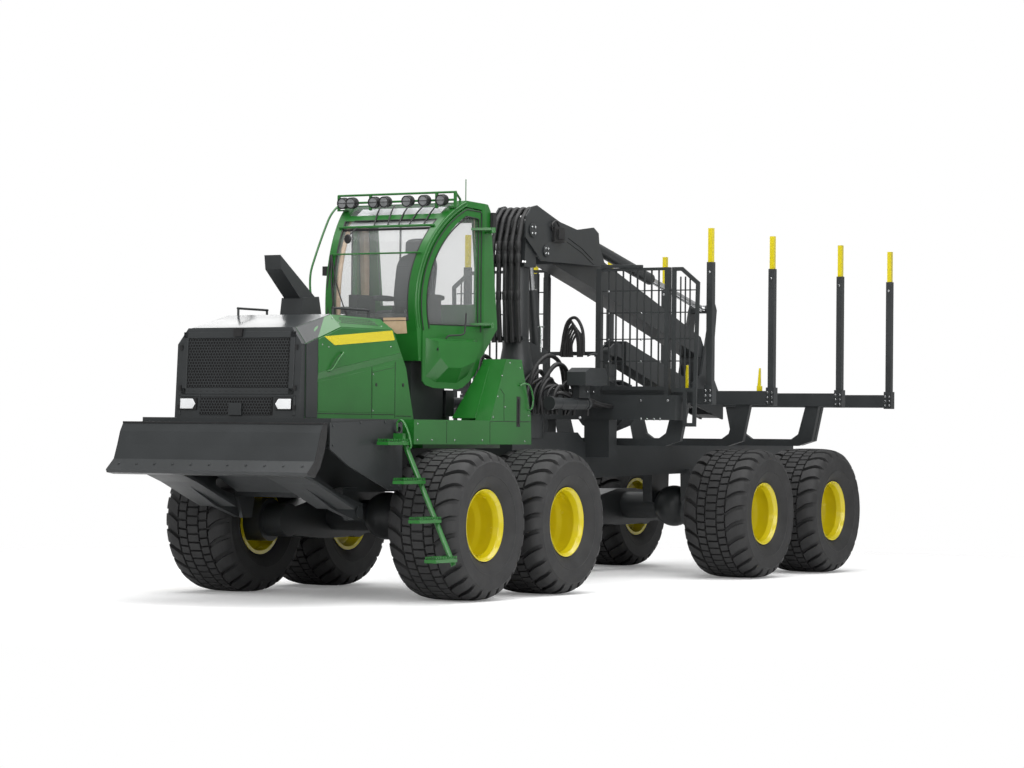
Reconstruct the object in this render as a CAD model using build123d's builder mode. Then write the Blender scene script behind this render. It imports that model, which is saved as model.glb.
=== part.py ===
from build123d import *
import math
import os

# Forestry forwarder: eight-wheel articulated log carrier with a folded loading crane.
# Millimetres. +X is forward, +Y is the machine's left, +Z is up. The origin lies on the
# ground in the middle of the overall box. The rear frame turns about articulation_x.

os.makedirs("parts", exist_ok=True)

# Running gaps
seat_gap = 0.3
clear = 6.0

# Wheels
tyre_od = 1400.0
tyre_width = 750.0
tread_depth = 34.0
bead_radius = 312.0
shoulder_radius = 608.0
flange_radius = 334.0
rim_width = 602.0
rim_wall = 14.0
disc_offset = 150.0
disc_wall = 20.0
hub_radius = 205.0
hub_cap_radius = 118.0
hub_cap_length = 90.0
track_half = 1256.0
front_bogie_x = 2811.5
front_wheel_gap = 1527.0
rear_bogie_x = -3168.0
rear_wheel_gap = 1766.0
bogie_case_height = 330.0
bogie_case_width = 240.0
bogie_gap = 24.0

# Front frame
articulation_x = 1200.0
articulation_z = 1090.0
chassis_half_width = 430.0
chassis_top = 1400.0
chassis_front_x = 5130.0
chassis_rear_x = 1900.0
neck_half_width = 170.0
tongue_half_height = 70.0
fork_gap = 6.0
fork_plate = 60.0
knuckle_radius = 150.0
knuckle_pin_radius = 62.0
skirt_half_width = 1050.0
skirt_front_x = 5390.0
skirt_rear_x = 4205.0
deck_z = 1668.0
deck_wall = 40.0
skirt_low = 1024.0
skirt_wall = 16.0

# Blade
blade_half_width = 1091.0
blade_pivot_x = 4350.0
blade_pivot_z = 820.0
blade_arm_y = 640.0
blade_arm_width = 60.0
blade_pin_radius = 36.0
blade_cylinder_y = 500.0
blade_base = (4560.0, 1452.0)
blade_eye = (5420.0, 1320.0)
blade_barrel_length = 560.0
blade_barrel_radius = 46.0
blade_rod_radius = 25.0
blade_rod_inside = 525.0

# Green body beside the cab
body_half_width = 1050.0
body_inner = 640.0
body_low = 1440.0
body_rear_x = 1880.0
body_top = 2262.0
box_inner = 880.0

# Hood
hood_half_width = 680.0
hood_roof_half_width = 570.0
hood_low = deck_z + seat_gap
hood_wall = 14.0
grille_half_width = 630.0
grille_depth = 46.0
grille_low_x = 5340.0
grille_top_x = 5290.0
grille_top = 2478.0

# Cab
cab_half_width = 750.0
cab_wall = 55.0
cab_floor_z = 2230.0
cab_belt_z = 2570.0
cab_roof_z = 3787.0
cab_taper = 0.278
door_wall = 48.0
door_post_x = 2290.0
door_hinge_x = 2370.0
door_hinge_y = 895.0
door_bulge = 110.0

# Rear frame
rear_frame_half_width = 240.0
rear_frame_low = 1080.0
rear_frame_top = 1425.0
rear_frame_end_x = -5780.0
slew_x = 390.0
pillar_radius = 130.0
pillar_top = 3330.0
crane_base_top = 1960.0
steer_base = (640.0, 390.0)
steer_eye = (1790.0, 520.0)
steer_barrel_length = 690.0
steer_barrel_radius = 50.0
steer_rod_radius = 27.0
steer_rod_inside = 325.0

# Bunk
bolster_rows = ((-1091.0, 1250.0), (-2573.0, 1250.0), (-4349.0, 1250.0), (-5745.0, 640.0))
beam_low = 1880.0
beam_high = 2030.0
beam_wide = 110.0
stake_y = 1495.0
stake_size = 68.0
stake_top = 3362.0
tip_size = 50.0
tip_top = 3719.0
socket_low = 1867.0
socket_high = 2068.0
socket_size = 96.0

# Headgate
gate_x = -800.0
gate_low = 2011.0
gate_top = 3300.0
gate_half_width = 1160.0
gate_wing_in = 1190.0
gate_wing_y = 1480.0
gate_notch_half = 292.0
gate_bar_pitch = 85.0
gate_bar = 14.0

# Crane, in the XZ plane through the slew axis
boom_pin = (420.0, 3640.0)
lift_base = (-30.0, 2350.0)
lift_eye = (144.0, 3440.0)
stick_base = (-936.0, 3630.0)
elbow_pin = (-3650.0, 2165.0)
lever_pin = (-3830.0, 2985.0)
tip_pin = (-1560.0, 2440.0)
head_half_width = 200.0
head_plate = 18.0
boom_half_width = 118.0
stick_half_width = 105.0
extension_half_width = 82.0
lever_plate = 26.0
lift_barrel_length = 700.0
lift_barrel_radius = 58.0
lift_rod_radius = 34.0
lift_rod_inside = 470.0
stick_barrel_length = 1640.0
stick_barrel_radius = 64.0
stick_rod_radius = 35.0
stick_rod_inside = 300.0
main_pin_radius = 45.0
small_pin_radius = 28.0

axle_z = tyre_od / 2
front_axles = (front_bogie_x + front_wheel_gap / 2, front_bogie_x - front_wheel_gap / 2)
rear_axles = (rear_bogie_x + rear_wheel_gap / 2, rear_bogie_x - rear_wheel_gap / 2)
hub_face_y = track_half - disc_offset - disc_wall / 2


def write(part, name):
    """Label a finished piece and write it as a STEP file."""
    part.label = name
    export_step(part, "parts/" + name + ".step")


def block(x0, x1, y0, y1, z0, z1, mode=Mode.ADD):
    """A block between two corners."""
    with Locations(((x0 + x1) / 2, (y0 + y1) / 2, (z0 + z1) / 2)):
        Box(x1 - x0, y1 - y0, z1 - z0, mode=mode)


def side_plate(points, y0, y1, mode=Mode.ADD):
    """A plate with the outline (x, z), reaching from y0 to y1."""
    with BuildSketch(Plane.XZ.offset(-y1)) as outline:
        with BuildLine():
            Polyline(*points, close=True)
        make_face()
    extrude(outline.sketch, amount=y1 - y0, mode=mode)


def cross_plate(points, x0, x1, mode=Mode.ADD):
    """A plate across the machine with the outline (y, z), reaching from x0 to x1."""
    with BuildSketch(Plane.YZ.offset(x0)) as outline:
        with BuildLine():
            Polyline(*points, close=True)
        make_face()
    extrude(outline.sketch, amount=x1 - x0, mode=mode)


def flat_plate(points, z0, z1, mode=Mode.ADD):
    """A plate with the plan outline (x, y), reaching from z0 to z1."""
    with BuildSketch(Plane.XY.offset(z0)) as outline:
        with BuildLine():
            Polyline(*points, close=True)
        make_face()
    extrude(outline.sketch, amount=z1 - z0, mode=mode)


def bar_between(start, end, radius, mode=Mode.ADD):
    """A round bar from start to end."""
    run = Vector(*end) - Vector(*start)
    with Locations(Plane(origin=start, z_dir=run)):
        Cylinder(radius, run.length, align=(Align.CENTER, Align.CENTER, Align.MIN), mode=mode)


def cross_bar(x, z, radius, y0, y1, mode=Mode.ADD):
    """A round bar across the machine, centred on (x, z)."""
    bar_between((x, y0, z), (x, y1, z), radius, mode)


def mirrored(points):
    """Add the mirror image of an outline's half, about its first axis."""
    return list(points) + [(-y, z) for y, z in reversed(points)]


def barrel_of(start, run, length, radius, rod_radius, bore_depth):
    """A cylinder's barrel from its base pin, with the bore that its rod slides in."""
    mouth = start + run * length
    bar_between(tuple(start), tuple(mouth), radius)
    bar_between(tuple(mouth - run * bore_depth), tuple(mouth + run), rod_radius + seat_gap, Mode.SUBTRACT)


def rod_of(start, run, length, radius, inside, reach):
    """A cylinder's rod, from inside its barrel to its eye's centre."""
    bar_between(tuple(start + run * (length - inside)), tuple(start + run * reach), radius)


def side_cylinder(base, eye, y):
    """The base point, direction and pin distance of a cylinder that lies in the XZ plane at y."""
    start = Vector(base[0], y, base[1])
    line = Vector(eye[0], y, eye[1]) - start
    return start, line.normalized(), line.length


def side_barrel(base, eye, y, length, radius, rod_radius, bore_depth, half, pin_radius):
    """A barrel in the XZ plane with a foot bored for its pin."""
    start, run, _ = side_cylinder(base, eye, y)
    cross_bar(base[0], base[1], radius * 0.92, y - half, y + half)
    barrel_of(start, run, length, radius, rod_radius, bore_depth)
    cross_bar(base[0], base[1], pin_radius + seat_gap, y - half - 1, y + half + 1, Mode.SUBTRACT)


def side_rod(base, eye, y, length, radius, inside, half, eye_radius):
    """A rod in the XZ plane with its eye."""
    start, run, reach = side_cylinder(base, eye, y)
    rod_of(start, run, length, radius, inside, reach)
    cross_bar(eye[0], eye[1], eye_radius, y - half, y + half)
    cross_bar(eye[0], eye[1], small_pin_radius, y - half - 1, y + half + 1, Mode.SUBTRACT)


# Wheel positions: name, x
wheel_rows = (
    ("front_1", front_axles[0]),
    ("front_2", front_axles[1]),
    ("rear_1", rear_axles[0]),
    ("rear_2", rear_axles[1]),
)
sides = (("left", 1), ("right", -1))

tread_radius = tyre_od / 2 - tread_depth
half_tyre = tyre_width / 2
half_rim = rim_width / 2
seat_radius = bead_radius - seat_gap
crown_half = 150.0
lug_count = 18
lug_wide = 100.0
lug_sweep = 18.0

# Half of the tyre's section: radius, distance from the middle plane
tyre_half = (
    (bead_radius, half_rim - 26),
    (flange_radius + 24, half_rim - 22),
    (430.0, half_tyre - 14),
    (520.0, half_tyre),
    (shoulder_radius, half_tyre - 12),
    (tread_radius - 14, half_tyre - 62),
    (tread_radius, crown_half),
)
# Side view of a shoulder lug: distance from the middle plane, radius
lug_outline = ((170.0, 640.0), (170.0, 691.0), (250.0, 684.0), (320.0, 664.0), (357.0, 620.0), (330.0, 600.0))

# Section of the rim: radius, distance outboard of the middle plane
rim_section = (
    (flange_radius, half_rim),
    (flange_radius, half_rim - 14),
    (seat_radius, half_rim - 16),
    (seat_radius, -half_rim + 16),
    (flange_radius, -half_rim + 14),
    (flange_radius, -half_rim),
    (seat_radius - rim_wall, -half_rim),
    (seat_radius - rim_wall, -disc_offset - disc_wall / 2),
    (hub_cap_radius - 4, -disc_offset - disc_wall / 2),
    (hub_cap_radius - 4, -disc_offset + disc_wall / 2),
    (seat_radius - 70, -disc_offset + disc_wall / 2),
    (seat_radius - 46, -disc_offset + 90),
    (seat_radius - 46, 40.0),
    (seat_radius - rim_wall, 90.0),
    (seat_radius - rim_wall, half_rim),
)

# One wheel about the origin, with its outboard side towards +Y
wheel_plane = Plane(origin=(0, 0, 0), x_dir=(1, 0, 0), z_dir=(0, 0, 1))
wheel_axis = Axis((0, 0, 0), (0, 1, 0))
with BuildPart() as lug_pair:
    for side in (1, -1):
        with BuildSketch(Plane.YZ.offset(-lug_wide / 2)) as outline:
            with BuildLine():
                Polyline(*[(side * y, z) for y, z in lug_outline], close=True)
            make_face()
        with BuildPart(mode=Mode.PRIVATE) as lug:
            extrude(outline.sketch, amount=lug_wide)
        swept = lug.part.rotate(Axis((0, 0, 0), (0, 0, 1)), side * lug_sweep)
        add(swept.rotate(wheel_axis, (1 - side) * 90.0 / lug_count))

with BuildPart() as tyre:
    with BuildSketch(wheel_plane):
        with BuildLine():
            Polyline(*(list(tyre_half) + [(r, -a) for r, a in reversed(tyre_half)]), close=True)
        make_face()
    revolve(axis=wheel_axis)
    with BuildSketch(wheel_plane):
        with BuildLine():
            Polyline((tread_radius - 20, crown_half), (tyre_od / 2, crown_half - 10),
                     (tyre_od / 2, 10 - crown_half), (tread_radius - 20, -crown_half), close=True)
        make_face()
    revolve(axis=wheel_axis)
    add([lug_pair.part.rotate(wheel_axis, i * 360.0 / lug_count) for i in range(lug_count)])

with BuildPart() as rim:
    with BuildSketch(wheel_plane):
        with BuildLine():
            Polyline(*rim_section, close=True)
        make_face()
    revolve(axis=wheel_axis)
    hub_plane = Plane(origin=(0, -disc_offset - disc_wall / 2, 0), z_dir=(0, 1, 0))
    with Locations(hub_plane):
        Cylinder(hub_cap_radius, disc_wall + hub_cap_length, align=(Align.CENTER, Align.CENTER, Align.MIN))

for row_name, wheel_x in wheel_rows:
    for side_name, side in sides:
        place = Location((wheel_x, side * track_half, axle_z))
        for part, name in ((tyre.part, "tyre_"), (rim.part, "rim_")):
            turned = part if side > 0 else part.mirror(Plane.XZ)
            write(turned.moved(place), name + row_name + "_" + side_name)

# Axles
axle_tube_radius = 150.0
axle_tube_z = axle_z + 40
gear_radius = 230.0
case_out = track_half - half_tyre - bogie_gap
case_in = case_out - bogie_case_width
case_half = bogie_case_height / 2


def bogie_axle(bogie_x, axles):
    """Axle tube with its centre gear, and a gear case to both hubs on each side."""
    cross_bar(bogie_x, axle_tube_z, axle_tube_radius, -case_in - 10, case_in + 10)
    with Locations((bogie_x, 0, axle_tube_z)):
        Sphere(gear_radius)
    for _, side in sides:
        low = min(side * case_in, side * case_out)
        outline = [
            (axles[0] + 40, axle_z - case_half + 30), (axles[0] + 40, axle_z + case_half - 60),
            (bogie_x + 230, axle_z + case_half + 60), (bogie_x - 230, axle_z + case_half + 60),
            (axles[1] - 40, axle_z + case_half - 60), (axles[1] - 40, axle_z - case_half + 30),
            (bogie_x - 200, axle_z - case_half - 20), (bogie_x + 200, axle_z - case_half - 20),
        ]
        side_plate(outline, low, low + bogie_case_width)
        for x in axles:
            cross_bar(x, axle_z, case_half - 8, low, low + bogie_case_width)
            with Locations(Plane(origin=(x, side * (case_out - 20), axle_z), z_dir=(0, side, 0))):
                Cylinder(hub_radius, hub_face_y - case_out + 20 - seat_gap,
                         align=(Align.CENTER, Align.CENTER, Align.MIN))


def saddles(bogie_x, inner, outer, top):
    """Two saddles that sit on an axle tube, from |y| inner to outer."""
    for _, side in sides:
        low = min(side * inner, side * outer)
        side_plate([(bogie_x - 210, top), (bogie_x + 210, top), (bogie_x + 190, axle_tube_z + 40),
                    (bogie_x - 190, axle_tube_z + 40)], low, low + outer - inner)
    cross_bar(bogie_x, axle_tube_z, axle_tube_radius + seat_gap, -outer - 1, outer + 1, Mode.SUBTRACT)


with BuildPart() as front_axle:
    bogie_axle(front_bogie_x, front_axles)
write(front_axle.part, "front_axle")

with BuildPart() as rear_axle:
    bogie_axle(rear_bogie_x, rear_axles)
write(rear_axle.part, "rear_axle")

# Front chassis: main box, articulation tongue, front box with side skirts
foot_half = blade_barrel_radius + 2
axle_roof = axle_tube_z + gear_radius + 20
neck_x = articulation_x + knuckle_radius + 40
lug_gap = 58.0
lug_plate = 30.0
with BuildPart() as front_chassis:
    side_plate([(chassis_rear_x, chassis_top), (chassis_front_x, chassis_top), (chassis_front_x, 1180),
                (4700, axle_roof), (chassis_rear_x, axle_roof)], -chassis_half_width, chassis_half_width)
    side_plate([(3440, deck_z), (chassis_front_x, deck_z), (chassis_front_x, chassis_top - 20),
                (3440, chassis_top - 20)], -chassis_half_width, chassis_half_width)
    side_plate([(neck_x, articulation_z + tongue_half_height), (1560, chassis_top), (1920, chassis_top),
                (1920, axle_roof), (1560, articulation_z - 120), (neck_x, articulation_z - tongue_half_height)],
               -neck_half_width, neck_half_width)
    block(articulation_x, neck_x + 10, -110, 110, articulation_z - tongue_half_height,
          articulation_z + tongue_half_height)
    with Locations((articulation_x, 0, articulation_z)):
        Cylinder(knuckle_radius, 2 * tongue_half_height)
        Cylinder(knuckle_pin_radius + seat_gap, 2 * tongue_half_height + 2, mode=Mode.SUBTRACT)
    saddles(front_bogie_x, 250, 420, axle_roof + 20)
    # Front box: deck, front wall and side skirts, open below
    block(skirt_rear_x, skirt_front_x - 40, -skirt_half_width + skirt_wall, skirt_half_width - skirt_wall,
          deck_z - deck_wall, deck_z)
    block(skirt_front_x - 60, skirt_front_x - 40, -skirt_half_width + skirt_wall,
          skirt_half_width - skirt_wall, 1440, deck_z)
    for _, side in sides:
        low = min(side * skirt_half_width, side * (skirt_half_width - skirt_wall))
        side_plate([(skirt_rear_x, deck_z), (skirt_front_x, deck_z - 40), (skirt_front_x, 1400),
                    (5080, 1246), (4420, skirt_low), (skirt_rear_x, skirt_low)], low, low + skirt_wall)
    # Cross tube with the ears and pins of the blade's arms
    ear_out = blade_arm_y - blade_arm_width / 2 - clear
    block(4240, 4500, -ear_out, ear_out, 940, 1040)
    pin_end = blade_arm_y + blade_arm_width / 2 + clear
    for _, side in sides:
        low = min(side * ear_out, side * (ear_out - 40))
        side_plate([(4240, 1040), (4240, 900), (blade_pivot_x - 70, blade_pivot_z - 80),
                    (blade_pivot_x + 70, blade_pivot_z - 80), (4500, 940), (4500, 1040)], low, low + 40)
        low = min(side * (ear_out - 20), side * (pin_end + 14))
        cross_bar(blade_pivot_x, blade_pivot_z, blade_pin_radius, low, low + pin_end + 34 - ear_out)
        low = min(side * pin_end, side * (pin_end + 14))
        cross_bar(blade_pivot_x, blade_pivot_z, blade_pin_radius + 16, low, low + 14)
        # Ears and pin of the blade cylinder's foot
        for offset in (-foot_half - clear - 24, foot_half + clear):
            ear = side * blade_cylinder_y + offset
            side_plate([(blade_base[0] - 60, deck_z - 20), (blade_base[0] + 90, deck_z - 20),
                        (blade_base[0] + 50, blade_base[1] - 40), (blade_base[0] - 50, blade_base[1] - 40)],
                       ear, ear + 24)
        cross_bar(blade_base[0], blade_base[1], 20, side * blade_cylinder_y - foot_half - clear - 12,
                  side * blade_cylinder_y + foot_half + clear + 12)
        # Lugs around the steering cylinder's eye
        for low in (articulation_z + lug_gap, articulation_z - lug_gap - lug_plate):
            flat_plate([(chassis_rear_x + 260, side * 400), (chassis_rear_x + 260, side * 440),
                        (steer_eye[0] + 40, side * (steer_eye[1] + 60)),
                        (steer_eye[0] - 50, side * (steer_eye[1] + 40)),
                        (steer_eye[0] - 50, side * (steer_eye[1] - 40)),
                        (chassis_rear_x + 10, side * 400)], low, low + lug_plate)
write(front_chassis.part, "front_chassis")

# Blade: a bent plate with folded wings, two arms, ears for the cylinders
arm_plate_in = 450.0
arm_plate_out = 860.0
blade_profile = [(5552, 1621), (5600, 1540), (5640, 1420), (5690, 1290), (5803, 1193),
                 (5790, 1165), (5690, 1150), (5610, 1230), (5540, 1380), (5510, 1500), (5500, 1621)]
with BuildPart() as blade:
    side_plate(blade_profile, -blade_half_width, blade_half_width)
    side_plate([(5515, 1500), (5560, 1375), (5630, 1235), (5640, 1195), (5500, 1160), (5480, 1300)],
               -700, 700)
    for _, side in sides:
        low = side * blade_arm_y - blade_arm_width / 2
        side_plate([(blade_pivot_x - 75, blade_pivot_z - 75), (blade_pivot_x - 75, blade_pivot_z + 75),
                    (4700, 1010), (5300, 1290), (5520, 1330), (5560, 1170), (5300, 1090),
                    (4800, 860), (blade_pivot_x + 60, blade_pivot_z - 75)], low, low + blade_arm_width)
        cross_bar(blade_pivot_x, blade_pivot_z, blade_pin_radius + seat_gap, low - 1,
                  low + blade_arm_width + 1, Mode.SUBTRACT)
        low = min(side * arm_plate_in, side * arm_plate_out)
        side_plate([(4700, 852), (5300, 1082), (5560, 1162), (5565, 1190), (5300, 1108), (4700, 878)],
                   low, low + arm_plate_out - arm_plate_in)
        for offset in (-foot_half - clear - 24, foot_half + clear):
            ear = side * blade_cylinder_y + offset
            side_plate([(5520, 1420), (blade_eye[0] - 40, blade_eye[1] + 60),
                        (blade_eye[0] - 50, blade_eye[1] - 50), (5520, 1190)], ear, ear + 24)
write(blade.part, "blade")

with BuildPart() as blade_barrels:
    for _, side in sides:
        side_barrel(blade_base, blade_eye, side * blade_cylinder_y, blade_barrel_length, blade_barrel_radius,
                    blade_rod_radius, blade_rod_inside + 5, foot_half, 20)
write(blade_barrels.part, "blade_barrels")

with BuildPart() as blade_rods:
    for _, side in sides:
        side_rod(blade_base, blade_eye, side * blade_cylinder_y, blade_barrel_length, blade_rod_radius,
                 blade_rod_inside, foot_half, 44)
write(blade_rods.part, "blade_rods")

# Green body: low side beams under the hood and cab, wedge-shaped boxes beside the cab
with BuildPart() as body_panels:
    for _, side in sides:
        low = min(side * body_half_width, side * body_inner)
        side_plate([(body_rear_x, deck_z), (4010, deck_z), (4010, body_low), (body_rear_x - 10, body_low)],
                   low, low + body_half_width - body_inner)
        low = min(side * body_half_width, side * box_inner)
        side_plate([(2656, deck_z - 10), (2386, 2212), (2360, body_top), (2069, body_top), (2019, 2115),
                    (body_rear_x, 1711), (body_rear_x, deck_z - 10)], low, low + body_half_width - box_inner)
        low = min(side * box_inner, side * 500)
        side_plate([(2290, deck_z - 10), (2200, 1900), (2000, 1900), (body_rear_x, 1700),
                    (body_rear_x, deck_z - 10)], low, low + box_inner - 500)
    block(body_rear_x, 3300, -700, 700, chassis_top + seat_gap, deck_z)
write(body_panels.part, "body_panels")

# Hood sections from front to rear: x, shoulder height, roof height
hood_rows = (
    (5240.0, 2330.0, 2476.0),
    (4680.0, 2500.0, 2612.0),
    (3435.0, 2500.0, 2590.0),
)
hood_bay = [(3852, 2800), (3852, 2575), (3573, 2148), (3435, deck_z), (3435, 1500), (3000, 1500), (3000, 2800)]


def hood_roof_z(x):
    """Height of the hood's roof at x."""
    for front, rear in zip(hood_rows, hood_rows[1:]):
        if rear[0] <= x <= front[0]:
            return rear[2] + (front[2] - rear[2]) * (x - rear[0]) / (front[0] - rear[0])
    return hood_rows[0][2]


def hood_half_section(shoulder, roof, inset, low):
    """Half of the hood's cross section: y, z."""
    return [(hood_half_width - inset, low), (hood_half_width - inset, shoulder),
            (hood_roof_half_width - inset / 2, roof - inset)]


def hood_volume(inset, low):
    """The hood's volume, inset from the outside."""
    sections = []
    for x, shoulder, roof in hood_rows:
        with BuildSketch(Plane.YZ.offset(x)) as section:
            with BuildLine():
                Polyline(*mirrored(hood_half_section(shoulder, roof, inset, low)), close=True)
            make_face()
        sections.append(section.sketch)
    loft(sections=sections, ruled=True)


with BuildPart() as hood_inside:
    hood_volume(hood_wall, hood_low - 1)
    side_plate([(x + hood_wall, z) for x, z in hood_bay], -700, 700, Mode.SUBTRACT)

with BuildPart() as hood_shell:
    hood_volume(0, hood_low)
    side_plate(hood_bay, -700, 700, Mode.SUBTRACT)
    add(hood_inside.part, mode=Mode.SUBTRACT)
    block(3400, 5300, -hood_roof_half_width, hood_roof_half_width, 2400, 2700, Mode.SUBTRACT)
write(hood_shell.part, "hood_shell")

roof_half = hood_roof_half_width - seat_gap
roof_line = [(x, roof) for x, _, roof in hood_rows[:2]] + [(3852.0, hood_roof_z(3852.0))]
with BuildPart() as hood_roof:
    side_plate(roof_line + [(x, z - hood_wall) for x, z in reversed(roof_line)], -roof_half, roof_half)
write(hood_roof.part, "hood_roof")


def grille_x(z):
    """The grille's front face at height z."""
    return grille_low_x + (grille_top_x - grille_low_x) * (z - deck_z) / (grille_top - deck_z)


grille_back = hood_rows[0][0] + seat_gap
with BuildPart() as grille:
    cross_plate(mirrored(hood_half_section(2330, 2476, 0, hood_low)), grille_back, grille_low_x + 10)
    side_plate([(grille_x(deck_z), deck_z), (grille_x(grille_top), grille_top), (5500, grille_top + 10),
                (5500, deck_z - 10), (grille_x(deck_z), deck_z - 10)], -700, 700, Mode.SUBTRACT)
    side_plate([(5400, 2400), (5400, 1920), (5200, 1920), (5200, 2400)],
               -grille_half_width + 50, grille_half_width - 50, Mode.SUBTRACT)
    side_plate([(grille_x(2400) - 20, 2401), (grille_x(1920) - 20, 1919), (grille_x(1920) - 28, 1919),
                (grille_x(2400) - 28, 2401)], -grille_half_width + 49, grille_half_width - 49)
    for i in range(17):
        y = (i - 8) * 70
        side_plate([(grille_x(2400) - 22, 2401), (grille_x(1920) - 22, 1919), (grille_x(1920) - 12, 1919),
                    (grille_x(2400) - 12, 2401)], y - 4, y + 4)
    for i in range(6):
        z = 1980 + i * 72
        block(grille_x(z) - 22, grille_x(z) - 13, 49 - grille_half_width, grille_half_width - 49, z - 4, z + 4)
write(grille.part, "grille")

with BuildPart() as engine_block:
    block(3750, 4850, -330, 330, deck_z + seat_gap, 2350)
write(engine_block.part, "engine_block")

# Hand rails on the hood: y, rear end, front end
rail_rows = ((470, 3900, 4500), (-470, 4200, 4660))
with BuildPart() as hood_fittings:
    side_plate([(3930, hood_roof_z(3930) + seat_gap), (4280, hood_roof_z(4280) + seat_gap), (4250, 2790),
                (3985, 2810)], -270, -30)
    side_plate([(3990, 2795), (4240, 2775), (4562, 3040), (4580, 3171)], -240, -60)
    for rail_y, rear, front in rail_rows:
        for x in (front, rear):
            bar_between((x, rail_y, hood_roof_z(x) + seat_gap + 0.2), (x, rail_y, 2680), 11)
        bar_between((front + 11, rail_y, 2680), (rear - 11, rail_y, 2680), 11)
write(hood_fittings.part, "hood_fittings")

# Cab outline in the XZ plane: roof rear, roof front, screen bulge, screen foot
cab_rear_low = (2371.0, cab_floor_z)
cab_rear_mid = (2033.0, 2562.0)
cab_rear_top = (2179.0, 3703.0)
cab_roof_rear = (2230.0, 3765.0)
cab_roof_front = (2528.0, cab_roof_z)
cab_screen_mid = (2900.0, 3500.0)
cab_screen_foot = (3131.0, 2513.0)
cab_nose = (3107.0, cab_floor_z)
taper_angle = math.degrees(math.atan(cab_taper))
taper_scale = 1 / math.cos(math.radians(taper_angle))


def side_y(x, inset):
    """Half width of the cab at x: straight sides behind the door post, tapering ahead of it."""
    return cab_half_width - inset * taper_scale - cab_taper * max(x - door_post_x, 0)


def cab_outline(inset):
    """The cab's side outline, moved inwards by inset."""
    back = [(cab_nose[0] - inset, cab_nose[1] + inset), (cab_rear_low[0] + 0.6 * inset, cab_rear_low[1] + inset),
            (cab_rear_mid[0] + inset, cab_rear_mid[1] + 0.3 * inset),
            (cab_rear_top[0] + inset, cab_rear_top[1] - 0.6 * inset),
            (cab_roof_rear[0] + inset, cab_roof_rear[1] - inset), (cab_roof_front[0], cab_roof_front[1] - inset)]
    foot = (cab_screen_foot[0] - inset, cab_screen_foot[1])
    bulge = (cab_screen_mid[0] - 0.8 * inset, cab_screen_mid[1] - 0.6 * inset)
    Polyline(*back)
    ThreePointArc(back[-1], bulge, foot)
    Line(foot, back[0])


def cab_plan(x0, x1, inset):
    """The cab's plan between x0 and x1, its sides moved inwards by inset."""
    half = [(x, side_y(x, inset)) for x in (x0, max(x0, door_post_x), x1)]
    if x0 >= door_post_x:
        half = half[1:]
    return half + [(x, -y) for x, y in reversed(half)]


def cab_volume(inset, side_inset):
    """The cab's volume, its outline moved inwards by inset and its sides by side_inset."""
    with BuildPart() as volume:
        with BuildSketch(Plane.XZ.offset(-cab_half_width)) as outline:
            with BuildLine():
                cab_outline(inset)
            make_face()
        extrude(outline.sketch, amount=2 * cab_half_width)
        flat_plate(cab_plan(1900, 3300, side_inset), 2000, 4000, Mode.INTERSECT)
    return volume.part


def arc_centre(first, second, third):
    """Centre of the circle through three points (x, z)."""
    ax, az = first
    bx, bz = second
    cx, cz = third
    scale = 2 * (ax * (bz - cz) + bx * (cz - az) + cx * (az - bz))
    a2 = ax * ax + az * az
    b2 = bx * bx + bz * bz
    c2 = cx * cx + cz * cz
    centre_x = (a2 * (bz - cz) + b2 * (cz - az) + c2 * (az - bz)) / scale
    centre_z = (a2 * (cx - bx) + b2 * (ax - cx) + c2 * (bx - ax)) / scale
    return centre_x, centre_z


def roof_z(x):
    """Height of the cab's curved roof and screen at x."""
    centre_x, centre_z = arc_centre(cab_roof_front, cab_screen_mid, cab_screen_foot)
    radius = math.hypot(cab_roof_front[0] - centre_x, cab_roof_front[1] - centre_z)
    return centre_z + math.sqrt(radius ** 2 - (x - centre_x) ** 2)


door_edge = 60.0
door_gap = 12.0
door_sill = 40.0
window_edge = 165.0


def side_region(inset, low, side, mode):
    """The side's area inside inset, ahead of the hinge post and above low, cut through that side."""
    with BuildSketch(Plane.XZ.offset(-400 if side > 0 else 800)) as outline:
        with BuildLine():
            cab_outline(inset)
        make_face()
        with Locations((door_post_x + inset * 0.5 - 1000, 3000)):
            Rectangle(2000, 4000, mode=Mode.SUBTRACT)
        with Locations((3000, low - 1000)):
            Rectangle(4000, 2000, mode=Mode.SUBTRACT)
    extrude(outline.sketch, amount=-400, mode=mode)


def side_strip(outer, inner, side):
    """Keep what lies between two planes parallel to the tapering side, outer and inner inside it."""
    ends = (door_post_x, 3300)
    strip = [(x, side * side_y(x, outer)) for x in ends] + [(x, side * side_y(x, inner)) for x in reversed(ends)]
    flat_plate(strip, 2000, 4000, Mode.INTERSECT)


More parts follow.
